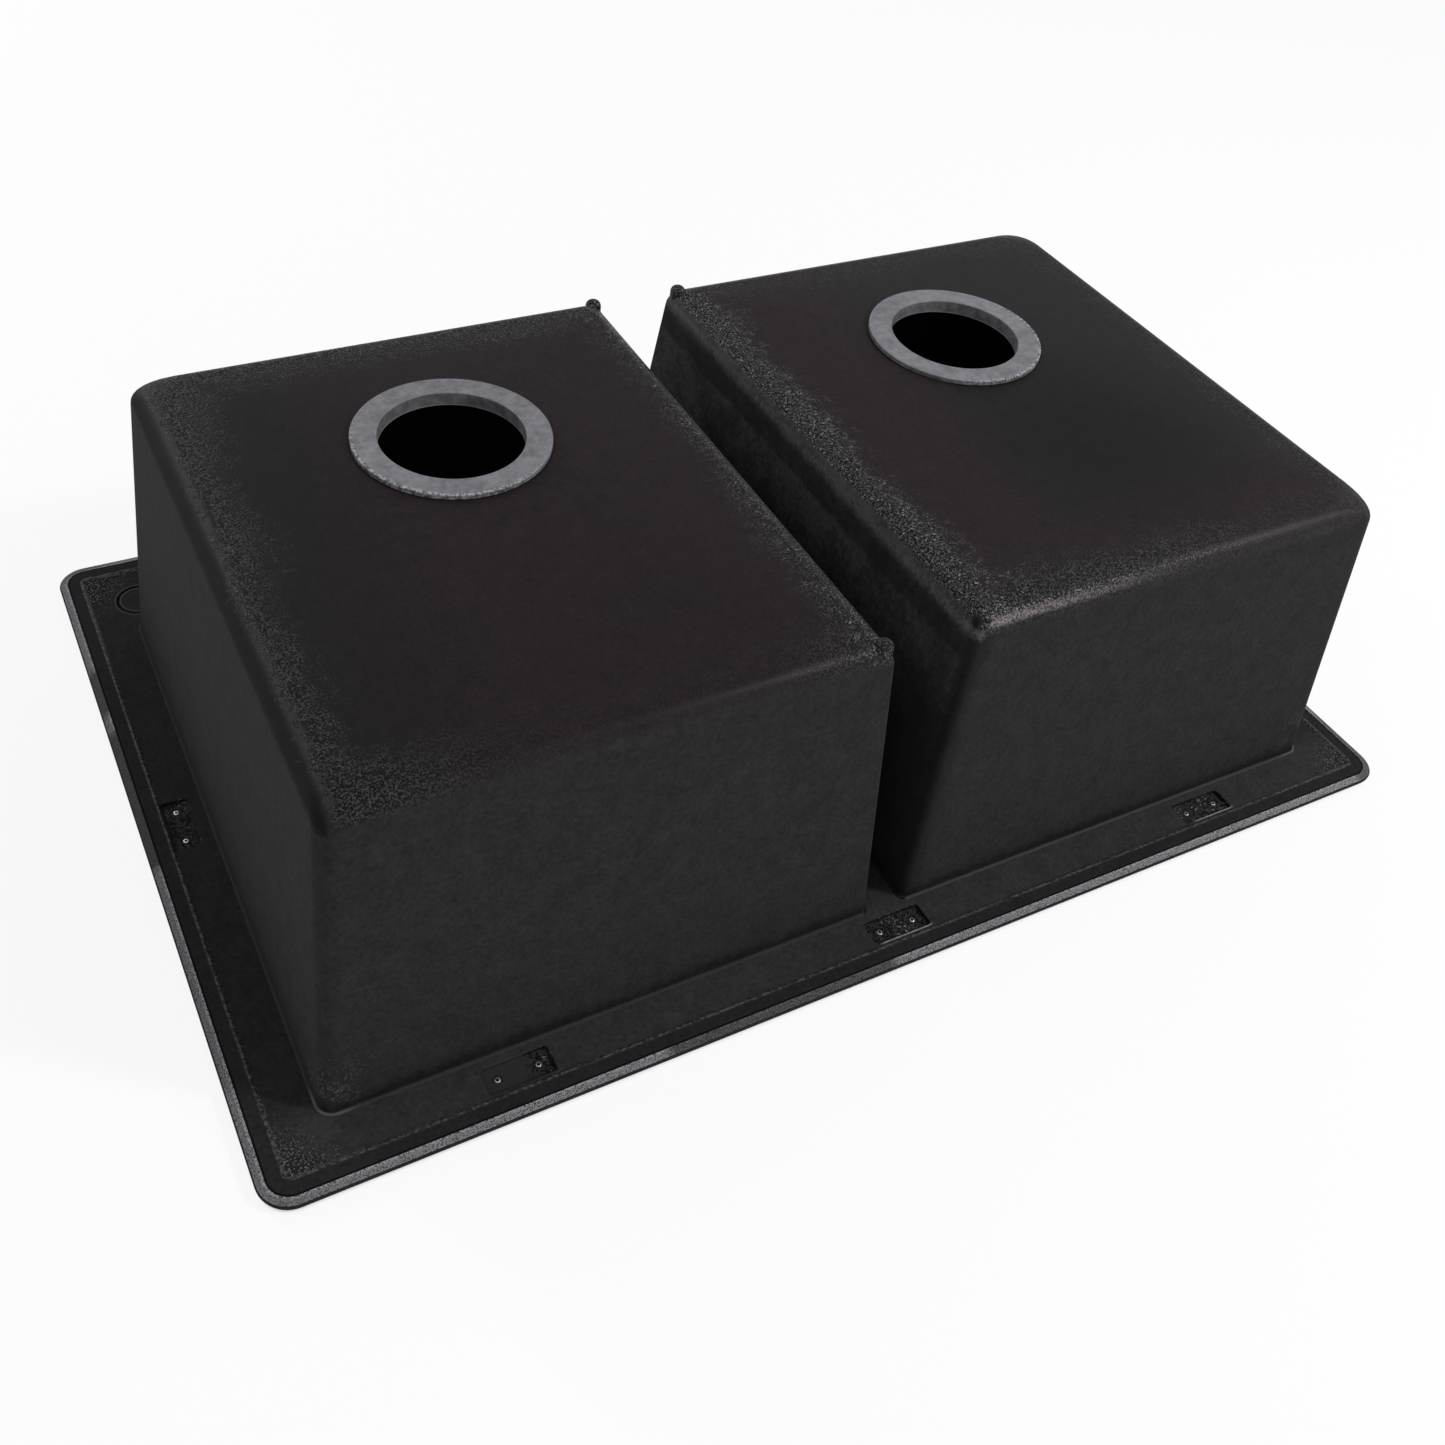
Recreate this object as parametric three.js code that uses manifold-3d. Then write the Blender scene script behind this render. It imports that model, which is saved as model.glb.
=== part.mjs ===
// Double bowl kitchen sink in black stone composite, standing as it is stored: upside down on
// the show face of its rim, with the bowls upwards.
// Millimetres. The origin is the centre of the rim's show face. X runs along the sink, Y towards
// the tap ledge at its back, and Z from the show face towards the bottoms of the bowls.

import * as THREE from 'three';
import { mergeVertices } from 'three/addons/utils/BufferGeometryUtils.js';
import Module from 'manifold-3d';

const wasm = await Module();
wasm.setup();

// ---------------------------------------------------------------- driving dimensions

// Rim
const RIM_LENGTH = 838;
const RIM_WIDTH = 558.8;
const RIM_CORNER_RADIUS = 20;
const RIM_THICKNESS = 8;
const SHOW_EDGE_RADIUS = 6;
const STRIP_WIDTH = 5.5;
const STRIP_FALL = 1;
const STRIP_ARRIS = 0.25;
const RING_WIDTH = 8.5;
const STEP_RUN = 3.75;
const STEP_DROP = 1;

// Flanges between the rim's edge and the feet of the bowls
const FRONT_FLANGE = 44.2;
const SIDE_FLANGE = 44.5;
const TAP_LEDGE = 75.4;
const BOWL_GAP = 27.5;

// Bowls
const BOWL_DEPTH = 220.25;
const WALL = 8;
const FLOOR = 9;
const CROWN = 3.5;
const FRONT_DRAFT = THREE.MathUtils.degToRad(6.0);
const SIDE_DRAFT = THREE.MathUtils.degToRad(5.8);
const BACK_DRAFT = THREE.MathUtils.degToRad(6.8);
const GAP_DRAFT = THREE.MathUtils.degToRad(4.75);
const SHOULDER_RADIUS = 16;
const GAP_SHOULDER_RADIUS = 7;
const INNER_FILLET_RADIUS = 12;
const CORNER_RADIUS = 13;
const OPENED_CORNER_RADIUS = 38;
const GAP_CORNER_RADIUS = 2;
const OPENED_GAP_CORNER_RADIUS = 6;
const INNER_CORNER_RADIUS = 10;
const MOUTH_EDGE_RADIUS = 5;

// Small bosses on the two bottom corners beside the gap
const BOSS_RADIUS = 5.5;
const BOSS_PROUD = 1.6;
const BOSS_LENGTH = 16;

// Drain
const DRAIN_DIAMETER = 90;
const DRAIN_FROM_BACK = 159.6;
const DRAIN_TOWARDS_GAP = 6;
const STRAINER_SEAT_DIAMETER = 114;
const STRAINER_SEAT_DEPTH = 3;
const COLLAR_DIAMETER = 122.5;
const COLLAR_HEIGHT = 3;
const COLLAR_CHAMFER = 0.5;

// Pockets for the clips that hold the sink in its worktop
const POCKET_LENGTH = 42;
const POCKET_WIDTH = 17;
const POCKET_DEPTH = 2.5;
const POCKET_CORNER_RADIUS = 2;
const POCKET_PITCH = 264;
const LONG_POCKET_INSET = 20;
const SIDE_POCKET_INSET = 17;
const SIDE_POCKET_OFFSET = 2;

// Press-in inserts, two to a pocket, flush with its floor
const INSERT_PITCH = 25.5;
const INSERT_DIAMETER = 5.8;
const INSERT_LENGTH = 3;
const INSERT_BORE = 2.6;
const INSERT_CHAMFER = 0.25;
const INSERT_CLEARANCE = 0.3;

// Tap hole knock-outs: a groove round a disc on the tap ledge
const KNOCKOUT_DIAMETER = 30;
const KNOCKOUT_INSET = 50.5;
const KNOCKOUT_GROOVE_WIDTH = 1.8;
const KNOCKOUT_GROOVE_DEPTH = 1.5;

// Smoothness
const RIM_CORNER_STEPS = 6;
const BOWL_CORNER_STEPS = 4;
const SIDE_STEPS = 8;
const SHOULDER_STEPS = 4;
const INNER_FILLET_STEPS = 3;
const EDGE_STEPS = 3;
const COLLAR_SEGMENTS = 48;
const KNOCKOUT_SEGMENTS = 32;
const BOSS_SEGMENTS = 16;
const BOSS_DOME_STEPS = 4;
const INSERT_SEGMENTS = 12;
const POCKET_CORNER_STEPS = 2;

// A cut runs this far past the face it opens in
const OVERCUT = 1;

// ---------------------------------------------------------------- levels and places

const QUARTER_TURN = Math.PI / 2;
const FULL_TURN = 2 * Math.PI;

const FIELD_LEVEL = RIM_THICKNESS - STEP_DROP;
const POCKET_LEVEL = FIELD_LEVEL - POCKET_DEPTH;
const INSERT_LEVEL = POCKET_LEVEL - INSERT_LENGTH;
const SHOULDER_LEVEL = FIELD_LEVEL + BOWL_DEPTH;
const SEAT_LEVEL = SHOULDER_LEVEL + CROWN;

// The four sides of the right-hand bowl, anticlockwise seen from above. Each has the place of its
// outer face at the foot, the direction from there into the bowl, its draft and its shoulder.
const SIDES = [
  { foot: FRONT_FLANGE - RIM_WIDTH / 2, inward: 1, draft: FRONT_DRAFT, shoulder: SHOULDER_RADIUS },
  { foot: RIM_LENGTH / 2 - SIDE_FLANGE, inward: -1, draft: SIDE_DRAFT, shoulder: SHOULDER_RADIUS },
  { foot: RIM_WIDTH / 2 - TAP_LEDGE, inward: -1, draft: BACK_DRAFT, shoulder: SHOULDER_RADIUS },
  { foot: BOWL_GAP / 2, inward: 1, draft: GAP_DRAFT, shoulder: GAP_SHOULDER_RADIUS },
];
const [, OUTER_SIDE, BACK_SIDE, GAP_SIDE] = SIDES;

const DRAIN = new THREE.Vector2(
  (OUTER_SIDE.foot + GAP_SIDE.foot) / 2 - DRAIN_TOWARDS_GAP,
  BACK_SIDE.foot - DRAIN_FROM_BACK,
);

// ---------------------------------------------------------------- solids from outlines

// A closed skin over outlines that have equally many points and run anticlockwise seen from above,
// listed from the bottom up. A ring skin returns from the last outline to the first, and another
// skin gets a flat cap at either end.
function skin(outlines, isRing) {
  const count = outlines[0].length;
  const positions = outlines.flat().flatMap((point) => [point.x, point.y, point.z]);
  const triangles = [];
  const bands = isRing ? outlines.length : outlines.length - 1;
  for (let band = 0; band < bands; band += 1) {
    const low = band * count;
    const high = ((band + 1) % outlines.length) * count;
    for (let i = 0; i < count; i += 1) {
      const next = (i + 1) % count;
      triangles.push(low + i, low + next, high + next);
      triangles.push(low + i, high + next, high + i);
    }
  }
  if (!isRing) {
    const top = outlines.length - 1;
    const bottomCentre = positions.length / 3;
    const topCentre = bottomCentre + 1;
    for (const outline of [outlines[0], outlines[top]]) {
      const centre = new THREE.Vector3();
      outline.forEach((point) => centre.add(point));
      centre.divideScalar(count);
      positions.push(centre.x, centre.y, centre.z);
    }
    for (let i = 0; i < count; i += 1) {
      const next = (i + 1) % count;
      triangles.push(bottomCentre, next, i);
      triangles.push(topCentre, top * count + i, top * count + next);
    }
  }
  const geometry = new THREE.BufferGeometry();
  geometry.setAttribute('position', new THREE.Float32BufferAttribute(positions, 3));
  geometry.setIndex(triangles);
  return geometry;
}

function toManifold(geometry) {
  const bare = geometry.clone();
  bare.deleteAttribute('normal');
  bare.deleteAttribute('uv');
  const merged = mergeVertices(bare, 1e-4);
  return new wasm.Manifold(new wasm.Mesh({
    numProp: 3,
    vertProperties: new Float32Array(merged.attributes.position.array),
    triVerts: new Uint32Array(merged.index.array),
  }));
}

function toGeometry(manifold) {
  const mesh = manifold.getMesh();
  const geometry = new THREE.BufferGeometry();
  geometry.setAttribute('position', new THREE.BufferAttribute(mesh.vertProperties, 3));
  geometry.setIndex(new THREE.BufferAttribute(mesh.triVerts, 1));
  geometry.computeVertexNormals();
  return geometry;
}

// Turns a closed profile of [radius, height] points, anticlockwise, round the Z axis.
function turned(profile, segments) {
  const points = profile.map(([radius, height]) => new THREE.Vector2(radius, height));
  const geometry = new THREE.LatheGeometry(points, segments);
  geometry.rotateX(QUARTER_TURN);
  return geometry;
}

// The same outlines for the left-hand bowl, mirrored in the plane between the bowls.
function mirrored(outlines) {
  const flip = (point) => new THREE.Vector3(-point.x, point.y, point.z);
  return outlines.map((outline) => outline.map(flip).reverse());
}

const handed = (outlines, isLeft) => (isLeft ? mirrored(outlines) : outlines);

// ---------------------------------------------------------------- bowl outlines

// Points on a straight side between two corners, at equal angles about the drain, so that an
// outline of the bowl and the round drain have their points on the same rays.
function sidePoints(start, end) {
  const from = Math.atan2(start.y - DRAIN.y, start.x - DRAIN.x);
  const to = Math.atan2(end.y - DRAIN.y, end.x - DRAIN.x);
  const sweep = THREE.MathUtils.euclideanModulo(to - from, FULL_TURN);
  const along = end.clone().sub(start);
  const points = [];
  for (let step = 1; step < SIDE_STEPS; step += 1) {
    const angle = from + (sweep * step) / SIDE_STEPS;
    const rayX = Math.cos(angle);
    const rayY = Math.sin(angle);
    const offset = (DRAIN.x - start.x) * rayY - (DRAIN.y - start.y) * rayX;
    const share = offset / (along.x * rayY - along.y * rayX);
    points.push(start.clone().addScaledVector(along, share));
  }
  return points;
}

// One corner, from the side before it to the side after it. Its height follows the two sides.
function cornerPoints(index, x, y, radius, before, after) {
  const centreX = x - Math.sign(x - DRAIN.x) * radius;
  const centreY = y - Math.sign(y - DRAIN.y) * radius;
  const points = [];
  for (let step = 0; step <= BOWL_CORNER_STEPS; step += 1) {
    const share = step / BOWL_CORNER_STEPS;
    const angle = QUARTER_TURN * (index - 1 + share);
    points.push(new THREE.Vector3(
      centreX + radius * Math.cos(angle),
      centreY + radius * Math.sin(angle),
      THREE.MathUtils.lerp(before.level, after.level, share),
    ));
  }
  return points;
}

// The outline of the right-hand bowl through four sides, each with its place and level. The first
// two radii are those of the corners away from the gap.
function bowlOutline(sides, outerRadius, gapRadius) {
  const [front, outer, back, gap] = sides;
  const corners = [
    cornerPoints(0, outer.place, front.place, outerRadius, front, outer),
    cornerPoints(1, outer.place, back.place, outerRadius, outer, back),
    cornerPoints(2, gap.place, back.place, gapRadius, back, gap),
    cornerPoints(3, gap.place, front.place, gapRadius, gap, front),
  ];
  return corners.flatMap((corner, index) => {
    const next = corners[(index + 1) % corners.length];
    return [...corner, ...sidePoints(corner.at(-1), next[0])];
  });
}

// A level cut through the drafted walls, a given way inside their outer faces.
function levelSides(inset, level) {
  return SIDES.map((side) => ({
    place: side.foot + side.inward * (inset + (level - FIELD_LEVEL) * Math.tan(side.draft)),
    level,
  }));
}

// One step of the round between the walls and the bottom. It touches the drafted wall where
// share is 0 and the bottom where share is 1.
function roundedSides(inset, level, share, radiusOf) {
  const edges = levelSides(inset, level);
  return SIDES.map((side, index) => {
    const radius = radiusOf(side);
    const angle = THREE.MathUtils.lerp(side.draft, QUARTER_TURN, share);
    const reach = radius * Math.tan((QUARTER_TURN - side.draft) / 2) - radius * Math.cos(angle);
    return {
      place: edges[index].place + side.inward * reach,
      level: level - radius * (1 - Math.sin(angle)),
    };
  });
}

// The drain's circle, with its points on the same rays as those of an outline.
function drainCircle(radius, level, outline) {
  return outline.map((point) => {
    const angle = Math.atan2(point.y - DRAIN.y, point.x - DRAIN.x);
    return new THREE.Vector3(
      DRAIN.x + radius * Math.cos(angle),
      DRAIN.y + radius * Math.sin(angle),
      level,
    );
  });
}

function outerShoulderOutline(share) {
  const opening = 1 - Math.cos(QUARTER_TURN * share);
  return bowlOutline(
    roundedSides(0, SHOULDER_LEVEL, share, (side) => side.shoulder),
    THREE.MathUtils.lerp(CORNER_RADIUS, OPENED_CORNER_RADIUS, opening),
    THREE.MathUtils.lerp(GAP_CORNER_RADIUS, OPENED_GAP_CORNER_RADIUS, opening),
  );
}

function innerFilletOutline(share) {
  return bowlOutline(
    roundedSides(WALL, SHOULDER_LEVEL - FLOOR, share, () => INNER_FILLET_RADIUS),
    INNER_CORNER_RADIUS,
    INNER_CORNER_RADIUS,
  );
}

function bowlOutlines() {
  const outlines = [bowlOutline(levelSides(0, FIELD_LEVEL), CORNER_RADIUS, GAP_CORNER_RADIUS)];
  for (let step = 0; step <= SHOULDER_STEPS; step += 1) {
    outlines.push(outerShoulderOutline(step / SHOULDER_STEPS));
  }
  const rays = outlines.at(-1);
  const floorLevel = SEAT_LEVEL - FLOOR;
  const seatFace = floorLevel + STRAINER_SEAT_DEPTH;
  outlines.push(drainCircle(COLLAR_DIAMETER / 2, SEAT_LEVEL, rays));
  outlines.push(drainCircle(DRAIN_DIAMETER / 2, SEAT_LEVEL, rays));
  outlines.push(drainCircle(DRAIN_DIAMETER / 2, seatFace, rays));
  outlines.push(drainCircle(STRAINER_SEAT_DIAMETER / 2, seatFace, rays));
  outlines.push(drainCircle(STRAINER_SEAT_DIAMETER / 2, floorLevel, rays));
  for (let step = INNER_FILLET_STEPS; step >= 0; step -= 1) {
    outlines.push(innerFilletOutline(step / INNER_FILLET_STEPS));
  }
  outlines.push(bowlOutline(levelSides(WALL, FIELD_LEVEL), INNER_CORNER_RADIUS, INNER_CORNER_RADIUS));
  return outlines;
}

// ---------------------------------------------------------------- bowls

// A boss with a round top, set into the corner of the bottom so that the upright edge of the
// bowl runs into it.
function bossGeometry() {
  const domeCentre = BOSS_PROUD - BOSS_RADIUS;
  const profile = [[0, domeCentre - BOSS_LENGTH], [BOSS_RADIUS, domeCentre - BOSS_LENGTH]];
  for (let step = 0; step < BOSS_DOME_STEPS; step += 1) {
    const angle = (QUARTER_TURN * step) / BOSS_DOME_STEPS;
    profile.push([BOSS_RADIUS * Math.cos(angle), domeCentre + BOSS_RADIUS * Math.sin(angle)]);
  }
  profile.push([0, BOSS_PROUD]);
  return turned(profile, BOSS_SEGMENTS);
}

function bowlGeometry(isLeft) {
  const [front, , back, gap] = levelSides(BOSS_RADIUS, SHOULDER_LEVEL);
  let bowl = toManifold(skin(handed(bowlOutlines(), isLeft), true));
  for (const side of [front, back]) {
    const boss = bossGeometry();
    boss.translate(isLeft ? -gap.place : gap.place, side.place, SHOULDER_LEVEL);
    bowl = bowl.add(toManifold(boss));
  }
  return toGeometry(bowl);
}

// ---------------------------------------------------------------- drain collars

function collarGeometry() {
  const inner = DRAIN_DIAMETER / 2;
  const outer = COLLAR_DIAMETER / 2;
  return turned([
    [inner, 0],
    [outer, 0],
    [outer, COLLAR_HEIGHT - COLLAR_CHAMFER],
    [outer - COLLAR_CHAMFER, COLLAR_HEIGHT],
    [inner + COLLAR_CHAMFER, COLLAR_HEIGHT],
    [inner, COLLAR_HEIGHT - COLLAR_CHAMFER],
    [inner, 0],
  ], COLLAR_SEGMENTS);
}

// ---------------------------------------------------------------- rim

// The rim's outline a given way inside its edge, at a level.
function rimOutline(inset, level) {
  const radius = Math.max(RIM_CORNER_RADIUS - inset, GAP_CORNER_RADIUS);
  const centreX = RIM_LENGTH / 2 - inset - radius;
  const centreY = RIM_WIDTH / 2 - inset - radius;
  const corners = [[1, -1], [1, 1], [-1, 1], [-1, -1]];
  return corners.flatMap(([signX, signY], index) => {
    const points = [];
    for (let step = 0; step <= RIM_CORNER_STEPS; step += 1) {
      const angle = QUARTER_TURN * (index - 1 + step / RIM_CORNER_STEPS);
      points.push(new THREE.Vector3(
        signX * centreX + radius * Math.cos(angle),
        signY * centreY + radius * Math.sin(angle),
        level,
      ));
    }
    return points;
  });
}

function rimBody() {
  const outlines = [];
  for (let step = 0; step <= EDGE_STEPS; step += 1) {
    const angle = (QUARTER_TURN * step) / EDGE_STEPS;
    const inset = SHOW_EDGE_RADIUS * (1 - Math.sin(angle));
    outlines.push(rimOutline(inset, SHOW_EDGE_RADIUS * (1 - Math.cos(angle))));
  }
  const stripLevel = RIM_THICKNESS - STRIP_FALL;
  const ringStart = STRIP_ARRIS + STRIP_WIDTH;
  const ringEnd = ringStart + RING_WIDTH;
  outlines.push(rimOutline(0, stripLevel - STRIP_ARRIS));
  outlines.push(rimOutline(STRIP_ARRIS, stripLevel));
  outlines.push(rimOutline(ringStart, RIM_THICKNESS));
  outlines.push(rimOutline(ringEnd, RIM_THICKNESS));
  outlines.push(rimOutline(ringEnd + STEP_RUN, FIELD_LEVEL));
  return toManifold(skin(outlines, false));
}

// The opening of a bowl through the rim, with its rounded edge at the show face.
function mouthCut(isLeft) {
  const opened = (spread, level) => bowlOutline(
    levelSides(WALL - spread, FIELD_LEVEL).map((side) => ({ place: side.place, level })),
    INNER_CORNER_RADIUS + spread,
    INNER_CORNER_RADIUS + spread,
  );
  const outlines = [opened(MOUTH_EDGE_RADIUS, -OVERCUT)];
  for (let step = 0; step <= EDGE_STEPS; step += 1) {
    const angle = (QUARTER_TURN * step) / EDGE_STEPS;
    const spread = MOUTH_EDGE_RADIUS * (1 - Math.sin(angle));
    outlines.push(opened(spread, MOUTH_EDGE_RADIUS * (1 - Math.cos(angle))));
  }
  outlines.push(opened(0, FIELD_LEVEL + OVERCUT));
  return toManifold(skin(handed(outlines, isLeft), false));
}

function pocketCut(pocket) {
  const halfLength = POCKET_LENGTH / 2;
  const halfWidth = POCKET_WIDTH / 2;
  const radius = POCKET_CORNER_RADIUS;
  const shape = new THREE.Shape();
  shape.absarc(halfLength - radius, halfWidth - radius, radius, 0, QUARTER_TURN);
  shape.absarc(radius - halfLength, halfWidth - radius, radius, QUARTER_TURN, 2 * QUARTER_TURN);
  shape.absarc(radius - halfLength, radius - halfWidth, radius, 2 * QUARTER_TURN, 3 * QUARTER_TURN);
  shape.absarc(halfLength - radius, radius - halfWidth, radius, 3 * QUARTER_TURN, FULL_TURN);
  const geometry = new THREE.ExtrudeGeometry(shape, {
    depth: POCKET_DEPTH + STEP_DROP + OVERCUT,
    curveSegments: POCKET_CORNER_STEPS,
    bevelEnabled: false,
  });
  geometry.rotateZ(pocket.turn);
  geometry.translate(pocket.x, pocket.y, POCKET_LEVEL);
  return toManifold(geometry);
}

// A blind hole whose floor carries the insert.
function insertHoleCut(place) {
  const radius = INSERT_DIAMETER / 2 + INSERT_CLEARANCE;
  const height = INSERT_LENGTH + OVERCUT;
  const geometry = new THREE.CylinderGeometry(radius, radius, height, INSERT_SEGMENTS);
  geometry.rotateX(QUARTER_TURN);
  geometry.translate(place.x, place.y, INSERT_LEVEL + height / 2);
  return toManifold(geometry);
}

function knockoutCut(x) {
  const inner = (KNOCKOUT_DIAMETER - KNOCKOUT_GROOVE_WIDTH) / 2;
  const outer = inner + KNOCKOUT_GROOVE_WIDTH;
  const geometry = turned([
    [KNOCKOUT_DIAMETER / 2, -KNOCKOUT_GROOVE_DEPTH],
    [outer, 0],
    [outer, OVERCUT],
    [inner, OVERCUT],
    [inner, 0],
    [KNOCKOUT_DIAMETER / 2, -KNOCKOUT_GROOVE_DEPTH],
  ], KNOCKOUT_SEGMENTS);
  geometry.translate(x, RIM_WIDTH / 2 - KNOCKOUT_INSET, FIELD_LEVEL);
  return toManifold(geometry);
}

// ---------------------------------------------------------------- pockets and inserts

// Three pockets in front, two at the back, where the tap hole takes the middle, and one at each
// end. A pocket's turn lays its length along the edge that it serves.
function clipPockets() {
  const longLine = RIM_WIDTH / 2 - LONG_POCKET_INSET - POCKET_WIDTH / 2;
  const sideLine = RIM_LENGTH / 2 - SIDE_POCKET_INSET - POCKET_WIDTH / 2;
  return [
    { name: 'front_left', x: -POCKET_PITCH, y: -longLine, turn: 0 },
    { name: 'front_centre', x: 0, y: -longLine, turn: 0 },
    { name: 'front_right', x: POCKET_PITCH, y: -longLine, turn: 0 },
    { name: 'back_left', x: -POCKET_PITCH, y: longLine, turn: 0 },
    { name: 'back_right', x: POCKET_PITCH, y: longLine, turn: 0 },
    { name: 'left_end', x: -sideLine, y: SIDE_POCKET_OFFSET, turn: QUARTER_TURN },
    { name: 'right_end', x: sideLine, y: SIDE_POCKET_OFFSET, turn: QUARTER_TURN },
  ];
}

function insertPlaces(pocket) {
  return [-1, 1].map((side, index) => ({
    name: `${pocket.name}_insert_${index + 1}`,
    x: pocket.x + (side * INSERT_PITCH * Math.cos(pocket.turn)) / 2,
    y: pocket.y + (side * INSERT_PITCH * Math.sin(pocket.turn)) / 2,
  }));
}

// An insert stands on the floor of its hole and ends level with the floor of the pocket.
function insertGeometry() {
  const bore = INSERT_BORE / 2;
  const outer = INSERT_DIAMETER / 2;
  return turned([
    [bore, 0],
    [outer, 0],
    [outer, INSERT_LENGTH - INSERT_CHAMFER],
    [outer - INSERT_CHAMFER, INSERT_LENGTH],
    [bore, INSERT_LENGTH],
    [bore, 0],
  ], INSERT_SEGMENTS);
}

function rimGeometry(pockets) {
  const knockoutX = RIM_LENGTH / 2 - KNOCKOUT_INSET;
  const cuts = [
    mouthCut(false),
    mouthCut(true),
    ...pockets.map(pocketCut),
    ...pockets.flatMap(insertPlaces).map(insertHoleCut),
    ...[-knockoutX, 0, knockoutX].map(knockoutCut),
  ];
  return toGeometry(cuts.reduce((rim, cut) => rim.subtract(cut), rimBody()));
}

// ---------------------------------------------------------------- assembly

const mouldedComposite = () => new THREE.MeshStandardMaterial({
  color: 0x1c1b1c,
  roughness: 0.55,
  metalness: 0,
});

const groundComposite = () => new THREE.MeshStandardMaterial({
  color: 0x6b6b70,
  roughness: 0.65,
  metalness: 0,
});

const insertMetal = () => new THREE.MeshStandardMaterial({
  color: 0x9a988f,
  roughness: 0.4,
  metalness: 0.8,
});

function named(name, geometry, material) {
  const mesh = new THREE.Mesh(geometry, material);
  mesh.name = name;
  return mesh;
}

const sink = new THREE.Group();
const pockets = clipPockets();

sink.add(named('rim_deck', rimGeometry(pockets), mouldedComposite()));

for (const [hand, isLeft] of [['left', true], ['right', false]]) {
  sink.add(named(`${hand}_bowl`, bowlGeometry(isLeft), mouldedComposite()));
  const collar = named(`${hand}_drain_collar`, collarGeometry(), groundComposite());
  collar.position.set(isLeft ? -DRAIN.x : DRAIN.x, DRAIN.y, SEAT_LEVEL);
  sink.add(collar);
}

for (const place of pockets.flatMap(insertPlaces)) {
  const insert = named(place.name, insertGeometry(), insertMetal());
  insert.position.set(place.x, place.y, INSERT_LEVEL);
  sink.add(insert);
}

export default sink;
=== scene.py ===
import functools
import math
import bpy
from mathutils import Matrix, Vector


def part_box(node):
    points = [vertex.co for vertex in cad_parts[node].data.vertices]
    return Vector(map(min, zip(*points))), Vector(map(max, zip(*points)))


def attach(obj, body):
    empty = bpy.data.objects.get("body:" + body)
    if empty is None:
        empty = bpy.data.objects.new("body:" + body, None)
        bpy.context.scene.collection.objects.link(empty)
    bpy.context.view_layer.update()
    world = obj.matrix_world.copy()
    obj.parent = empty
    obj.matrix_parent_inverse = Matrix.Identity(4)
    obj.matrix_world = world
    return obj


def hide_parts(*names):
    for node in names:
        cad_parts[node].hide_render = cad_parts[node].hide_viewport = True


bl_info = {
    "name": "Double Bowl Composite Sink",
    "version": (1, 0, 0),
    "blender": (4, 5, 0),
    "location": "View3D > Sidebar > Sink",
    "description": "Builds the detailed pieces of a moulded double bowl sink on its packed frame",
    "category": "Object",
}

import bpy
from bpy.props import FloatProperty, FloatVectorProperty, IntProperty, PointerProperty
from mathutils import Vector

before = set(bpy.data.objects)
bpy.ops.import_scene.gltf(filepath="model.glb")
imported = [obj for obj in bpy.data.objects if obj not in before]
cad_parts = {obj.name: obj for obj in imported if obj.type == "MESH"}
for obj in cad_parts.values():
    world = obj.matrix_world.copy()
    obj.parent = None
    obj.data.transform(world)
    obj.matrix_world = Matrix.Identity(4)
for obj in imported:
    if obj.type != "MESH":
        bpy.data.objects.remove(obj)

MM = 0.001
QUARTER_TURN = math.pi / 2

# Two outlines at one level are this far apart, so that bridging can tell which way is up.
HAIR = 0.002 * MM
# A point this near to a level or a circle counts as lying on it, and doubles are nearer.
TOUCH = 0.01 * MM
DOUBLE = 0.001 * MM
# A direction is upright when its Z part is over this, and level when that is under 1 less this.
MOSTLY = 0.9

# ---------------------------------------------------------------- the frame's sizes

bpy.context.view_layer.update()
RIM_LOW, RIM_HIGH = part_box("rim_deck")
BOWL_LOW, BOWL_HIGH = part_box("right_bowl")
COLLAR_LOW, COLLAR_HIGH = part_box("right_drain_collar")
POCKETS = ("front_left", "front_centre", "front_right", "back_left", "back_right",
           "left_end", "right_end")
INSERTS = [f"{pocket}_insert_{number}" for pocket in POCKETS for number in (1, 2)]

FIELD = BOWL_LOW.z
SEAT = BOWL_HIGH.z
DRAIN = (COLLAR_LOW + COLLAR_HIGH) / 2
COLLAR_RADIUS = (COLLAR_HIGH.x - COLLAR_LOW.x) / 2


def centre_of(node):
    low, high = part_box(node)
    return (low + high) / 2


# ---------------------------------------------------------------- settings


def length(name, description, default):
    return FloatProperty(name=name, description=description, default=default,
                         subtype="DISTANCE", unit="LENGTH")


def angle(name, description, degrees):
    return FloatProperty(name=name, description=description, default=math.radians(degrees),
                         subtype="ANGLE", unit="ROTATION")


def colour(name, description, default):
    return FloatVectorProperty(name=name, description=description, default=default,
                               subtype="COLOR", size=3, min=0, max=1)


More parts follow.
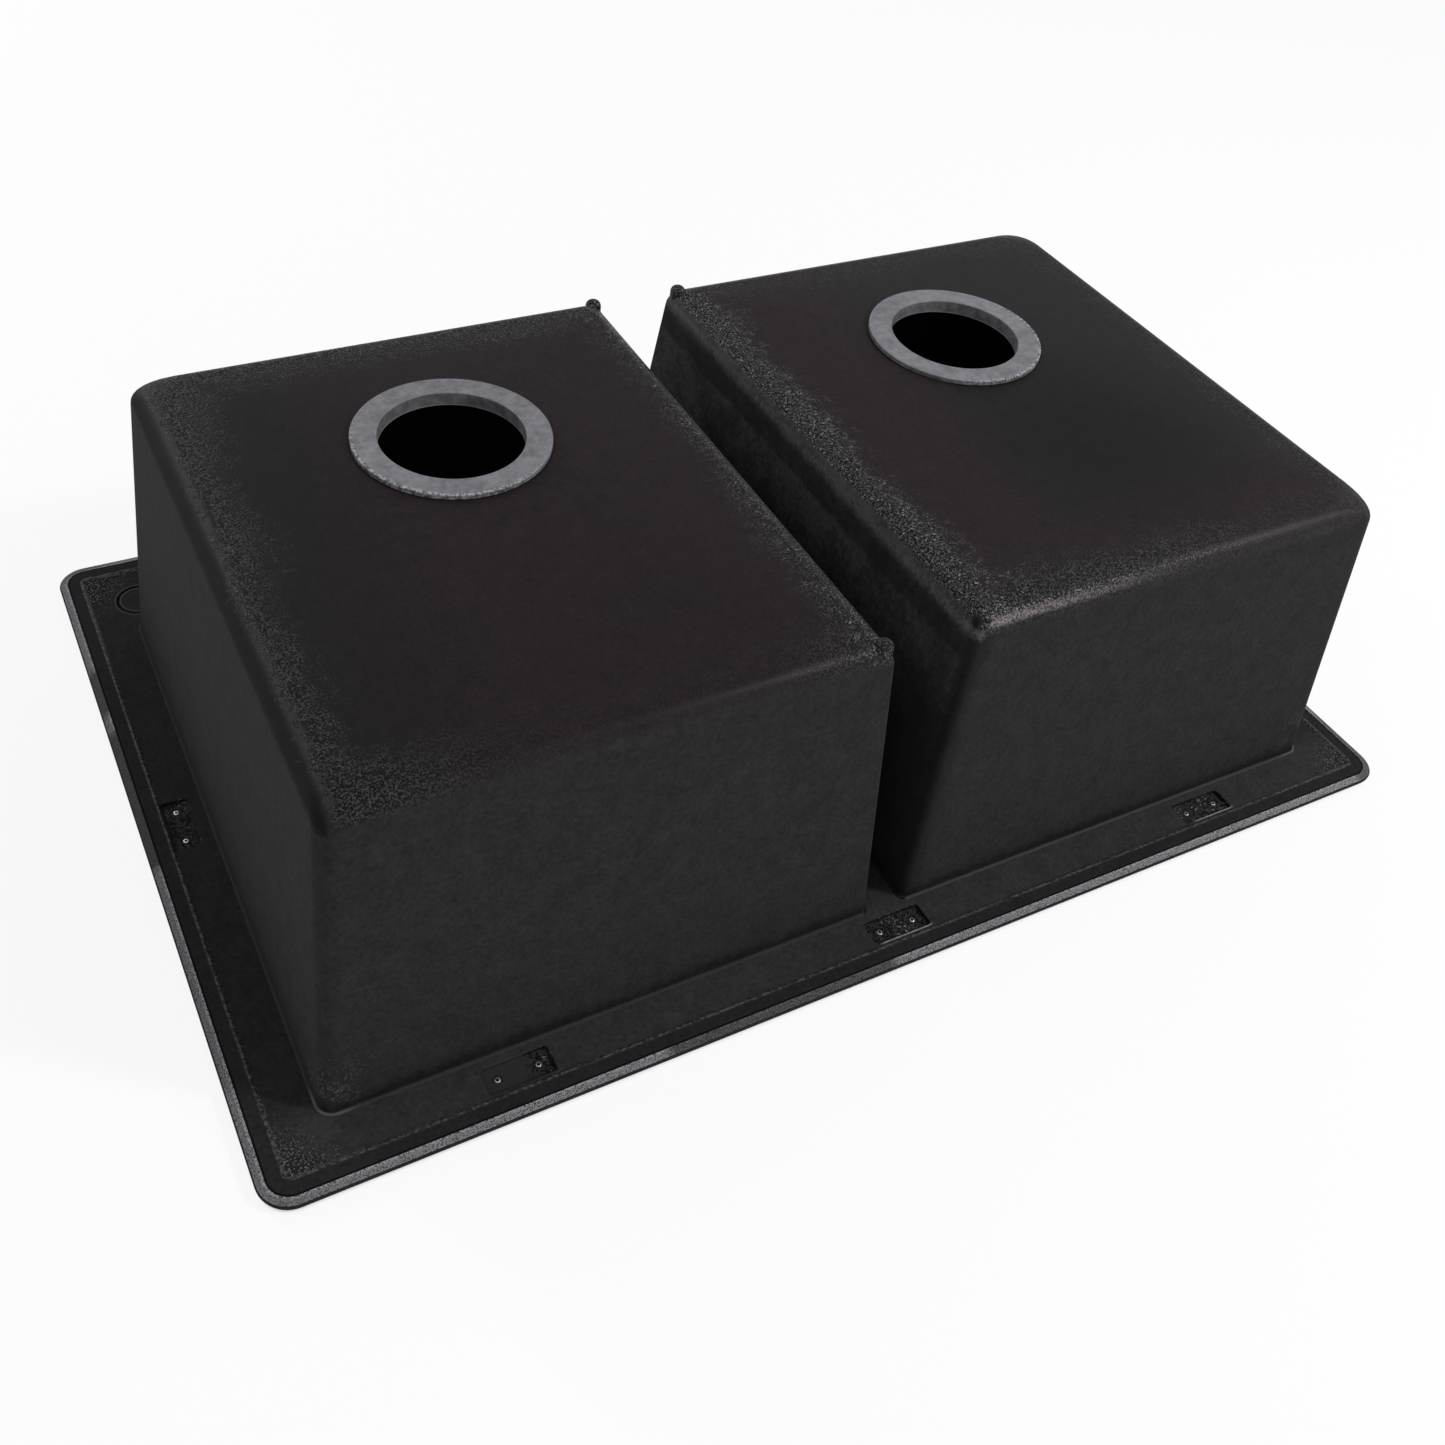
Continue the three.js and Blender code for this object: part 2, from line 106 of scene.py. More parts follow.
class SinkRimSettings(bpy.types.PropertyGroup):
    corner_radius: length("Corner radius", "Radius of the rim's corners", 20 * MM)
    show_edge_radius: length("Show edge", "Round between the show face and the edge", 6 * MM)
    arris: length("Arris", "Broken edge between the side and the ground strip", 0.9 * MM)
    strip_width: length("Strip width", "Width of the ground edge strip", 4.85 * MM)
    strip_fall: length("Strip fall", "How far the strip falls towards the edge", 1 * MM)
    ring_width: length("Ring width", "Width of the flat ring that seats on a worktop", 8.5 * MM)
    step_run: length("Step run", "Width of the bead between the ring and the field", 3.75 * MM)
    bead_rise: length("Bead rise", "Height of that bead over the ring", 0.45 * MM)
    pocket_length: length("Pocket length", "Length of a clip pocket", 42 * MM)
    pocket_width: length("Pocket width", "Width of a clip pocket", 17 * MM)
    pocket_corner: length("Pocket corner", "Radius of a clip pocket's corners", 2 * MM)
    pocket_flare: length("Pocket flare", "Broken top edge of a clip pocket", 0.7 * MM)
    insert_clearance: length("Insert clearance", "Gap round an insert in its hole", 0.3 * MM)
    knockout_diameter: length("Knock-out", "Diameter of the tap hole knock-outs", 30 * MM)
    knockout_inset: length("Knock-out inset", "From the rim's edges to a knock-out", 50.5 * MM)
    groove_width: length("Groove width", "Width of the groove round a knock-out", 2.6 * MM)
    groove_depth: length("Groove depth", "Depth of the groove round a knock-out", 1.5 * MM)


class SinkBowlSettings(bpy.types.PropertyGroup):
    wall: length("Wall", "Thickness of the walls", 8 * MM)
    floor: length("Floor", "Thickness of the bottom", 9 * MM)
    crown: length("Crown", "Rise of the bottom towards the drain", 3.5 * MM)
    front_draft: angle("Front draft", "Lean of the front wall", 6.0)
    side_draft: angle("Side draft", "Lean of the outer wall", 5.8)
    back_draft: angle("Back draft", "Lean of the back wall", 6.8)
    gap_draft: angle("Gap draft", "Lean of the wall towards the other bowl", 3.75)
    shoulder_radius: length("Shoulder", "Round between the walls and the bottom", 16 * MM)
    gap_shoulder_radius: length("Gap shoulder", "The same towards the other bowl", 15 * MM)
    inner_fillet: length("Inner fillet", "Round inside, between the walls and the bottom", 12 * MM)
    foot_fillet: length("Foot fillet", "Fillet between the walls and the rim", 2.2 * MM)
    toe_width: length("Toe width", "Width of the bead round the foot", 1.4 * MM)
    toe_rise: length("Toe rise", "Height of the bead round the foot", 0.7 * MM)
    foot_corner: length("Foot corner", "Radius of the outer corners at the rim", 9 * MM)
    corner: length("Corner", "Radius of the outer corners below the shoulder", 13 * MM)
    top_corner: length("Top corner", "Radius of the outer corners on the bottom", 38 * MM)
    gap_corner: length("Gap corner", "Radius of the corners towards the other bowl", 4 * MM)
    top_gap_corner: length("Top gap corner", "The same on the bottom", 6 * MM)
    inner_corner: length("Inner corner", "Radius of the corners inside", 10 * MM)
    seat_diameter: length("Strainer seat", "Diameter of the strainer's seat", 114 * MM)
    seat_depth: length("Seat depth", "Depth of the strainer's seat", 3 * MM)
    boss_radius: length("Boss radius", "Radius of the bosses beside the gap", 5.5 * MM)
    boss_proud: length("Boss height", "Height of a boss over the shoulder line", 0.7 * MM)
    boss_length: length("Boss length", "Length of a boss down into the corner", 16 * MM)
    shoulder_steps: IntProperty(name="Shoulder steps", default=12, min=4,
                                description="Steps in the round of the shoulder")
    corner_steps: IntProperty(name="Corner steps", default=8, min=3,
                              description="Steps in the round of a corner")
    side_cuts: IntProperty(name="Side cuts", default=23, min=3,
                           description="Points on each straight side")


class SinkDrainSettings(bpy.types.PropertyGroup):
    diameter: length("Drain hole", "Diameter of the drain hole", 90 * MM)
    chamfer: length("Chamfer", "Broken edges of the drain collar", 0.5 * MM)


class SinkInsertSettings(bpy.types.PropertyGroup):
    bore: length("Bore", "Bore of an insert", 2.0 * MM)
    lip: length("Lip", "Diameter of the bright lip round the bore", 3.3 * MM)
    lip_fall: length("Lip fall", "How far the dull body lies below the lip", 0.15 * MM)
    chamfer: length("Chamfer", "Broken outer edge of an insert", 0.25 * MM)


class SinkFinishSettings(bpy.types.PropertyGroup):
    skin: colour("Skin", "Colour of the walls", (0.0182, 0.0182, 0.0182))
    rim: colour("Rim", "Colour of the rim", (0.0155, 0.0155, 0.0155))
    show: colour("Show face", "Colour of the show face and the bowls' insides", (0.03, 0.03, 0.03))
    bottom: colour("Bottom", "Colour of the bottoms", (0.0105, 0.0105, 0.0105))
    warm: colour("Warm middle", "Tint of the bottoms' smooth middle", (0.0145, 0.0095, 0.0112))
    # Pale grey: dust on the gap walls, and also painted highlights, painted glints and painted
    # light elsewhere.
    dust_and_painted_light: colour("Dust", "Colour of the dusty walls beside the gap", (0.0700, 0.0700, 0.0700))
    # Worn grey of the pockets and inserts, also used for a painted highlight on the toe bead and
    # painted shade on the strip's outer edge.
    worn_and_painted_light: colour("Worn", "Colour of the worn beads and arrises", (0.0320, 0.0320, 0.0320))
    # Chips about the inserts, also used for painted glints beside the gap and painted highlights on
    # two pockets' front edges.
    chip_and_glint: colour("Chip", "Colour of the chips about the inserts", (0.3000, 0.3000, 0.2900))
    # Near black of the grain's crevices, painted there as shade, and also used for painted shade on
    # shoulders, pocket walls, in the gap, above the toe and round the collars.
    crevice_and_painted_shade: colour("Crevice", "Colour between the pebbles of the grain", (0.0010, 0.0010, 0.0010))
    pebble: colour("Pebble", "Colour of the pebbles' tops", (0.050, 0.049, 0.049))
    # Colour of a painted highlight on the right-hand bowl's front shoulder.
    front_highlight_colour: colour("Rubbed", "Colour of the rubbed front edge", (0.175, 0.154, 0.158))
    # Colour of a painted highlight band on the outer shoulders.
    painted_sheen: colour("Polished", "Colour of the shoulders' smooth band", (0.026, 0.027, 0.029))
    ground: colour("Ground", "Colour of the ground composite", (0.178, 0.177, 0.194))
    strip: colour("Strip", "Colour of the ground edge strip", (0.270, 0.270, 0.290))
    metal: colour("Insert metal", "Colour of the inserts", (0.60, 0.59, 0.56))


class SinkStageSettings(bpy.types.PropertyGroup):
    lens: FloatProperty(name="Lens", description="Focal length of the camera", default=35.468,
                        subtype="DISTANCE_CAMERA")
    camera_place: FloatVectorProperty(name="Camera", description="Place of the camera",
                                      subtype="TRANSLATION", unit="LENGTH",
                                      default=(-0.444639, -0.642542, 0.738254))
    camera_turn: FloatVectorProperty(name="Camera turn", description="Turn of the camera",
                                     subtype="EULER", unit="ROTATION",
                                     default=[math.radians(degrees) for degrees in (
                                         44.51229, -5.46653, -27.02888)])
    camera_shift: FloatVectorProperty(name="Camera shift", size=2, default=(0.03725, -0.0022),
                                      description="The picture's shift, in shares of its width")
    light_distance: length("Light distance", "From the middle of the floor to each light", 2.8)
    floor_size: length("Floor", "Length of the floor's sides", 14)
    key_power: FloatProperty(name="Key", description="Power of the front right light",
                             default=40, subtype="POWER", unit="POWER")
    rim_power: FloatProperty(name="Rim light", description="Power of the back left light",
                             default=16, subtype="POWER", unit="POWER")
    fill_power: FloatProperty(name="Fill light", description="Power of the low front light",
                              default=12, subtype="POWER", unit="POWER")
    dome: FloatProperty(name="Dome", description="Strength of the even light", default=0.56)
    floor_glow: FloatProperty(name="Floor glow", default=0.85,
                              description="How far the floor looks evenly white")


# ---------------------------------------------------------------- modelling helpers


def activate(*objects):
    bpy.ops.object.select_all(action="DESELECT")
    for item in objects:
        item.select_set(True)
    bpy.context.view_layer.objects.active = objects[0]


def edit(kind, action):
    bpy.ops.object.mode_set(mode="EDIT")
    bpy.ops.mesh.select_mode(type=kind)
    bpy.ops.mesh.select_all(action=action)


def leave():
    bpy.ops.object.mode_set(mode="OBJECT")


def pick(piece, kind, test):
    """Goes into edit mode with the vertices, edges or polygons selected that pass a test."""
    activate(piece)
    edit({"vertices": "VERT", "edges": "EDGE", "polygons": "FACE"}[kind], "DESELECT")
    leave()
    chosen = 0
    for item in getattr(piece.data, kind):
        item.select = test(item)
        chosen += item.select
    if not chosen:
        raise RuntimeError(f"nothing of {piece.name} passes the test")
    bpy.ops.object.mode_set(mode="EDIT")


def on_picked(piece, kind, test, operator, **values):
    """Runs an operator on the vertices, edges or polygons that pass a test."""
    pick(piece, kind, test)
    operator(**values)
    leave()


def on_all(piece, operator, **values):
    """Runs an operator on a piece's whole mesh."""
    activate(piece)
    edit("VERT", "SELECT")
    operator(**values)
    leave()


def settle(piece):
    """Puts a piece's place, turn and scale into its mesh."""
    activate(piece)
    bpy.ops.object.transform_apply(location=True, rotation=True, scale=True)


def primitive(operator, **values):
    operator(**values)
    piece = bpy.context.active_object
    settle(piece)
    return piece


def name_it(piece, name):
    piece.name = name
    piece.data.name = name


def copy_at(piece, name, offset=(0, 0, 0)):
    activate(piece)
    bpy.ops.object.duplicate(linked=False)
    twin = bpy.context.active_object
    name_it(twin, name)
    bpy.ops.transform.translate(value=offset)
    settle(twin)
    return twin


def join(pieces):
    activate(*pieces)
    bpy.ops.object.join()
    return bpy.context.active_object


def remove(piece):
    activate(piece)
    bpy.ops.object.delete()


def outward(piece):
    on_all(piece, bpy.ops.mesh.normals_make_consistent, inside=False)


def mirrored(piece, name):
    """A copy on the other side of the plane between the bowls."""
    twin = copy_at(piece, name)
    on_all(twin, bpy.ops.transform.mirror, constraint_axis=(True, False, False),
           center_override=(0, 0, 0))
    outward(twin)
    return twin


def modify(piece, kind, **values):
    """Gives a piece a modifier and puts what it does into the mesh."""
    activate(piece)
    bpy.ops.object.modifier_add(type=kind)
    modifier = piece.modifiers[-1]
    for name, value in values.items():
        setattr(modifier, name, value)
    bpy.ops.object.modifier_apply(modifier=modifier.name)


def boolean(piece, cutter, operation="DIFFERENCE"):
    outward(cutter)
    modify(piece, "BOOLEAN", operation=operation, solver="EXACT", object=cutter)
    remove(cutter)


def close(piece, smooth_degrees):
    """Merges doubles, turns all faces outwards and shades the piece."""
    on_all(piece, bpy.ops.mesh.remove_doubles, threshold=DOUBLE)
    outward(piece)
    bpy.ops.object.shade_smooth_by_angle(angle=math.radians(smooth_degrees))
    modify(piece, "WEIGHTED_NORMAL", keep_sharp=True)


def dress(piece, node):
    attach(piece, "root")
    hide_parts(node)


def edge_points(mesh, edge):
    return [mesh.vertices[index].co for index in edge.vertices]


def edge_span(mesh, edge):
    start, stop = edge_points(mesh, edge)
    return stop - start


def on_level(mesh, edge, level, *radii):
    """Whether an edge lies at a top level and, where radii are given, along one of the circles."""
    ends = edge_points(mesh, edge)
    circles = [all(abs(point.xy.length - radius) < TOUCH for point in ends) for radius in radii]
    return all(point.z > level - TOUCH for point in ends) and (not radii or any(circles))


# ---------------------------------------------------------------- outlines and skins


def quarter_round(radius, steps):
    """Insets and levels along a quarter round, from its lower end to its upper one."""
    turns = [QUARTER_TURN * step / steps for step in range(steps + 1)]
    return [(radius * (1 - math.sin(turn)), radius * (1 - math.cos(turn))) for turn in turns]


def outline(low, high, level, high_radius, low_radius, steps, cuts):
    """A closed line with round corners: high_radius for those at high X, low_radius at low X."""
    place = ((low[0] + high[0]) / 2, (low[1] + high[1]) / 2, level)
    bpy.ops.mesh.primitive_plane_add(size=1, location=place)
    bpy.ops.transform.resize(value=(high[0] - low[0], high[1] - low[1], 1))
    piece = bpy.context.active_object
    settle(piece)
    for radius, test in ((high_radius, lambda v: v.co.x > high[0] - TOUCH),
                         (low_radius, lambda v: v.co.x < low[0] + TOUCH)):
        on_picked(piece, "vertices", test, bpy.ops.mesh.bevel, offset=radius, segments=steps,
                  offset_type="OFFSET", affect="VERTICES", clamp_overlap=False)
    on_all(piece, bpy.ops.mesh.delete, type="ONLY_FACE")
    if cuts:
        # The four straight sides are the longest edges.
        mesh = piece.data
        shortest_side = sorted(edge_span(mesh, edge).length for edge in mesh.edges)[-4]
        on_picked(piece, "edges", lambda e: edge_span(mesh, e).length > shortest_side * 0.99,
                  bpy.ops.mesh.subdivide, number_cuts=cuts)
    return piece


def bridge(piece, spans, cuts=0):
    wanted = {index for start, stop in spans for index in range(start, stop)}
    on_picked(piece, "vertices", lambda v: v.index in wanted, bpy.ops.mesh.bridge_edge_loops,
              number_cuts=cuts, interpolation="LINEAR")


def skin(lines, is_ring, cuts_after=None):
    """Joins a row of outlines into one skin. A ring skin returns to its first outline, and
    another gets a face at either end. cuts_after gives the cross lines of a band by its number."""
    body = lines[0]
    first = (0, len(body.data.vertices))
    last = first
    for number, line in enumerate(lines[1:]):
        start = len(body.data.vertices)
        body = join([body, line])
        fresh = (start, len(body.data.vertices))
        bridge(body, (last, fresh), (cuts_after or {}).get(number, 0))
        last = fresh
    if is_ring:
        bridge(body, (last, first))
    else:
        for start, stop in (first, last):
            on_picked(body, "vertices", lambda v: start <= v.index < stop,
                      bpy.ops.mesh.edge_face_add)
    outward(body)
    return body


def bush(radius, bore, low, high, segments):
    """A plain ring, made from a cylinder whose ends are inset, opened and bridged."""
    piece = primitive(bpy.ops.mesh.primitive_cylinder_add, vertices=segments, radius=radius,
                      depth=high - low, location=(0, 0, (low + high) / 2))
    pick(piece, "polygons", lambda f: abs(f.normal.z) > MOSTLY)
    bpy.ops.mesh.inset(thickness=(radius - bore) * math.cos(math.pi / segments))
    bpy.ops.mesh.delete(type="FACE")
    leave()
    between = (bore + radius) / 2
    on_picked(piece, "vertices", lambda v: v.co.xy.length < between,
              bpy.ops.mesh.bridge_edge_loops)
    return piece


# ---------------------------------------------------------------- the bowl's profile


class Side:
    """One wall of the right-hand bowl: the place of its foot, the way inwards and its draft."""

    def __init__(self, foot, inward, draft, shoulder):
        self.foot = foot
        self.inward = inward
        self.draft = draft
        self.shoulder = shoulder

    def flare(self, height, radius):
        """How far the foot fillet stands out from the wall at a height over the field."""
        tangent = radius * (1 - math.sin(self.draft))
        if height >= tangent:
            return 0
        out = tangent / math.cos(self.draft)
        across = math.sqrt(max(0, radius ** 2 - (radius - height) ** 2))
        return out - across + height * math.tan(self.draft)

    def reach(self, depth, radius):
        """How far a rounded wall lies inside its corner line, a depth below the bottom."""
        if depth >= radius * (1 - math.sin(self.draft)):
            return -depth * math.tan(self.draft)
        sine = 1 - depth / radius
        return radius * (math.tan((QUARTER_TURN - self.draft) / 2) - math.sqrt(1 - sine ** 2))

    def place(self, inset, level):
        """Where the wall is at a level, moved inwards by an inset."""
        return self.foot + self.inward * (inset + (level - FIELD) * math.tan(self.draft))

    def rounded(self, inset, top, depth, radius):
        """Where the wall is at a depth below a bottom at the level top, rounded into it."""
        return self.place(inset, top) + self.inward * self.reach(depth, radius)


def bowl_sides(s):
    return (
        Side(BOWL_LOW.y, 1, s.front_draft, s.shoulder_radius),
        Side(BOWL_HIGH.x, -1, s.side_draft, s.shoulder_radius),
        Side(BOWL_HIGH.y, -1, s.back_draft, s.shoulder_radius),
        Side(BOWL_LOW.x, 1, s.gap_draft, s.gap_shoulder_radius),
    )


def bowl_line(s, places, level, high_radius, low_radius):
    front, outer, back, gap = places
    return outline((gap, front), (outer, back), level, high_radius, low_radius,
                   s.corner_steps, s.side_cuts)


def drain_line(s, places, radius, level):
    """The top outline drawn into a circle round the drain, each point on its own ray."""
    piece = bowl_line(s, places, level, s.top_corner, s.top_gap_corner)
    centre = Vector((DRAIN.x, DRAIN.y, level))
    on_all(piece, bpy.ops.transform.tosphere, value=1, center_override=centre)
    ratio = radius / (piece.data.vertices[0].co - centre).length
    on_all(piece, bpy.ops.transform.resize, value=(ratio, ratio, ratio), center_override=centre)
    return piece


def foot_lines(s, sides):
    """The outlines of the bead round the foot and of the fillet over it."""
    lines = []
    contact = 0.03 * MM
    steps = 4
    toe_out = sides[0].flare(s.toe_rise, s.foot_fillet)
    for step in range(steps + 1):
        turn = QUARTER_TURN * step / steps
        level = FIELD + contact + (s.toe_rise - contact) * math.sin(turn)
        reach = toe_out + s.toe_width * (1 + math.cos(turn)) / 2
        lines.append(bowl_line(s, [side.place(-reach, level) for side in sides], level,
                               s.foot_corner + reach, s.gap_corner + reach))
    for step in range(2, steps + 1):
        height = contact + (s.foot_fillet - contact) * (1 - math.cos(QUARTER_TURN * step / steps))
        flares = [side.flare(height, s.foot_fillet) for side in sides]
        places = [side.place(-flare, FIELD + height) for side, flare in zip(sides, flares)]
        lines.append(bowl_line(s, places, FIELD + height, s.foot_corner + flares[0],
                               s.gap_corner + flares[3]))
    return lines


def round_depths(s, radius, steps):
    """Shares and depths below a bottom of the steps in its round, from the wall upwards."""
    for step in range(steps + 1):
        turn = s.front_draft + (QUARTER_TURN - s.front_draft) * step / steps
        yield step / steps, radius * (1 - math.sin(turn))


def bowl_lines(s, drain):
    """All outlines of the bowl: up the outside, through the drain hole and down the inside. Also
    the numbers of cross lines in the wide bands on the bottom and on the floor inside."""
    sides = bowl_sides(s)
    top = SEAT - s.crown
    floor = SEAT - s.floor
    seat = floor + s.seat_depth
    lines = foot_lines(s, sides)
    for share, depth in round_depths(s, s.shoulder_radius, s.shoulder_steps):
        opening = 1 - math.cos(QUARTER_TURN * share)
        places = [side.rounded(0, top, depth, side.shoulder) for side in sides]
        lines.append(bowl_line(s, places, top - depth,
                               s.corner + (s.top_corner - s.corner) * opening,
                               s.gap_corner + (s.top_gap_corner - s.gap_corner) * opening))
    crown_band = len(lines) - 1
    hole, recess = drain.diameter / 2, s.seat_diameter / 2
    for radius, level in ((COLLAR_RADIUS, SEAT - HAIR), (hole, SEAT), (hole, seat),
                          (recess, seat + HAIR), (recess, floor)):
        lines.append(drain_line(s, places, radius, level))
    floor_band = len(lines) - 1
    inner_top = top - s.floor
    for _, depth in reversed(list(round_depths(s, s.inner_fillet, 6))):
        places = [side.rounded(s.wall, inner_top, depth, s.inner_fillet) for side in sides]
        lines.append(bowl_line(s, places, inner_top - depth, s.inner_corner, s.inner_corner))
    places = [side.place(s.wall, FIELD) for side in sides]
    lines.append(bowl_line(s, places, FIELD, s.inner_corner, s.inner_corner))
    return lines, {crown_band: 6, floor_band: 4}


def add_boss(s, bowl, x, y, top):
    """A pin with a domed end, let into the corner where the upright edge meets the bottom."""
    boss = primitive(bpy.ops.mesh.primitive_cylinder_add, vertices=32, radius=s.boss_radius,
                     depth=s.boss_length, location=(x, y, top - s.boss_length / 2))
    on_picked(boss, "edges", lambda e: on_level(boss.data, e, top), bpy.ops.mesh.bevel,
              offset=s.boss_radius * 0.8, segments=7, affect="EDGES", clamp_overlap=False)
    boolean(bowl, boss, "UNION")


# ---------------------------------------------------------------- materials


class Nodes:
    """The node tree of a material or a world, filled from code."""

    def __init__(self, owner):
        owner.use_nodes = True
        self.tree = owner.node_tree

    def add(self, kind, **values):
        node = self.tree.nodes.new(kind)
        for key, value in values.items():
            setattr(node, key, value)
        return node

    def link(self, source, target):
        """Feeds a socket from another one, or gives it a number or a colour."""
        if isinstance(source, bpy.types.NodeSocket):
            self.tree.links.new(source, target)
        elif isinstance(source, (int, float)):
            target.default_value = source
        else:
            target.default_value = (*source, 1)

    def maths(self, operation, *inputs):
        node = self.add("ShaderNodeMath", operation=operation)
        for value, socket in zip(inputs, node.inputs):
            self.link(value, socket)
        return node.outputs[0]

    def chain(self, operation, values, clamp=False):
        """Carries an operation on two values along a row of them; clamp limits the last result."""
        total = functools.reduce(lambda first, second: self.maths(operation, first, second), values)
        total.node.use_clamp = clamp
        return total

    def times(self, *values, clamp=False):
        return self.chain("MULTIPLY", values, clamp)

    def plus(self, *values, clamp=False):
        return self.chain("ADD", values, clamp)

    def minus(self, first, second):
        return self.maths("SUBTRACT", first, second)

    def most(self, *values):
        return self.chain("MAXIMUM", values)

    def absolute(self, value):
        return self.maths("ABSOLUTE", value)

    def distance(self, across, along):
        return self.maths("SQRT", self.plus(self.times(across, across), self.times(along, along)))

    def ranged(self, value, low, high, start=0.0, stop=1.0, smooth=True):
        node = self.add("ShaderNodeMapRange")
        node.interpolation_type = "SMOOTHSTEP" if smooth else "LINEAR"
        for source, socket in zip((value, low, high, start, stop), node.inputs):
            self.link(source, socket)
        return node.outputs[0]

    def fade(self, value, low, high):
        """1 below low, 0 above high."""
        return self.ranged(value, low, high, 1.0, 0.0)

    def band(self, value, start, stop, blur):
        """1 between start and stop, which are both blurred."""
        return self.times(self.ranged(value, start - blur, start + blur),
                          self.fade(value, stop - blur, stop + blur))

    def mix(self, share, first, second):
        """A number that goes evenly from the first to the second with a share."""
        return self.ranged(share, 0.0, 1.0, first, second, smooth=False)


class MaterialNodes(Nodes):
    """The same with a material's shader, and patterns laid out on the object's coordinates."""

    def __init__(self, name):
        self.material = bpy.data.materials.new(name)
        super().__init__(self.material)
        self.shader = self.tree.nodes["Principled BSDF"]
        self.place = self.add("ShaderNodeTexCoord").outputs["Object"]

    def noise(self, scale, detail=2.0, roughness=0.5, place=None):
        node = self.add("ShaderNodeTexNoise")
        for name, value in (("Vector", place or self.place), ("Scale", scale),
                            ("Detail", detail), ("Roughness", roughness)):
            self.link(value, node.inputs[name])
        return node.outputs["Fac"]

    def spots(self, scale, detail, roughness, low, high, start=0.0, stop=1.0, smooth=True):
        """Noise whose range from low to high becomes start to stop."""
        return self.ranged(self.noise(scale, detail, roughness), low, high, start, stop, smooth)

    def blend(self, factor, first, second, mode="MIX"):
        node = self.add("ShaderNodeMix", data_type="RGBA", blend_type=mode)
        self.link(factor, node.inputs["Factor"])
        colours = [socket for socket in node.inputs if socket.type == "RGBA"]
        self.link(first, colours[0])
        self.link(second, colours[1])
        return next(socket for socket in node.outputs if socket.type == "RGBA")

    def shade(self, tone, level):
        """A tone made lighter or darker by a level."""
        return self.blend(1.0, tone, level, "MULTIPLY")

    def split(self):
        node = self.add("ShaderNodeSeparateXYZ")
        self.link(self.place, node.inputs[0])
        return node.outputs

    def bump(self, height, distance, strength, normal=None):
        node = self.add("ShaderNodeBump")
        for name, value in (("Strength", strength), ("Distance", distance), ("Height", height)):
            self.link(value, node.inputs[name])
        if normal:
            self.link(normal, node.inputs["Normal"])
        return node.outputs["Normal"]

    def finish(self, base, roughness, normal=None, metallic=0.0, specular=0.5):
        for name, value in (("Base Color", base), ("Roughness", roughness),
                            ("Metallic", metallic), ("Specular IOR Level", specular)):
            self.link(value, self.shader.inputs[name])
        if normal:
            self.link(normal, self.shader.inputs["Normal"])
        return self.material


def rim_inset_nodes(n, x, y):
    """How far a point lies inside the rim's edge; x is 0 or more."""
    radius = bpy.context.scene.sink_rim.corner_radius
    over_x = n.minus(x, RIM_HIGH.x - radius)
    over_y = n.minus(n.absolute(y), RIM_HIGH.y - radius)
    corner = n.distance(n.most(over_x, 0.0), n.most(over_y, 0.0))
    straight = n.maths("MINIMUM", n.most(over_x, over_y), 0.0)
    return n.minus(radius, n.plus(corner, straight))


class SkinNodes(MaterialNodes):
    """The node tree of the moulding's skin, with the places that its tones and relief share."""

    def __init__(self, name):
        super().__init__(name)
        self.tones = bpy.context.scene.sink_finish
        self.rim = bpy.context.scene.sink_rim
        self.bowl = bpy.context.scene.sink_bowl
        self.corner_line = SEAT - self.bowl.crown
        self.toe = FIELD + self.bowl.toe_rise
        self.ring_start = self.rim.arris + self.rim.strip_width
        self.ring_end = self.ring_start + self.rim.ring_width
        self.side, self.y, self.z = self.split()
        self.x = self.absolute(self.side)
        self.inset = rim_inset_nodes(self, self.x, self.y)
        self.is_right = self.ranged(self.side, -10 * MM, 10 * MM)
        self.on_front = self.fade(self.y, -240 * MM, -215 * MM)
        # How far a point on a bottom lies inside each of its four edges; both bowls alike.
        self.walls = bowl_sides(self.bowl)
        front, outer, back, gap = (wall.place(0, self.corner_line) for wall in self.walls)
        self.front, self.outer = self.minus(self.y, front), self.minus(outer, self.x)
        self.back, self.gap = self.minus(back, self.y), self.minus(self.x, gap)
        self.ragged = self.plus(self.spots(14, 3, 0.5, 0.3, 0.7, -7 * MM, 7 * MM, smooth=False),
                                self.spots(170, 3, 0.5, 0.3, 0.7, -10 * MM, 10 * MM, smooth=False))
        self.up = self.times(self.ranged(self.z, 212 * MM, 226 * MM),
                             self.ranged(self.gap, 1.5 * MM, 5 * MM))
        self.mottle = self.times(self.spots(70, 5, 0.7, 0.3, 0.7, 0.82, 1.18, smooth=False),
                                 self.spots(350, 4, 0.7, 0.3, 0.7, 0.70, 1.30, smooth=False))
        self.pebble = self.spots(900, 2, 0.6, 0.47, 0.60, smooth=False)
        self.shine = self.times(self.pebble, self.spots(380, 2, 0.6, 0.42, 0.62))
        self.dots = self.spots(700, 2, 0.6, 0.54, 0.61)
        self.knobs = self.spots(520, 2, 0.6, 0.44, 0.60, 0.0, 1.6, smooth=False)
        self.knobbly = self.ranged(self.knobs, 0.0, 1.6, 0.6, 1.0)
        self.bead = self.band(self.inset, self.ring_end + 0.6 * MM,
                              self.ring_end + self.rim.step_run - 0.4 * MM, 0.6 * MM)

    def by_bowl(self, left, right):
        """One value for the left-hand bowl and another for the right-hand one."""
        return self.mix(self.is_right, left, right)


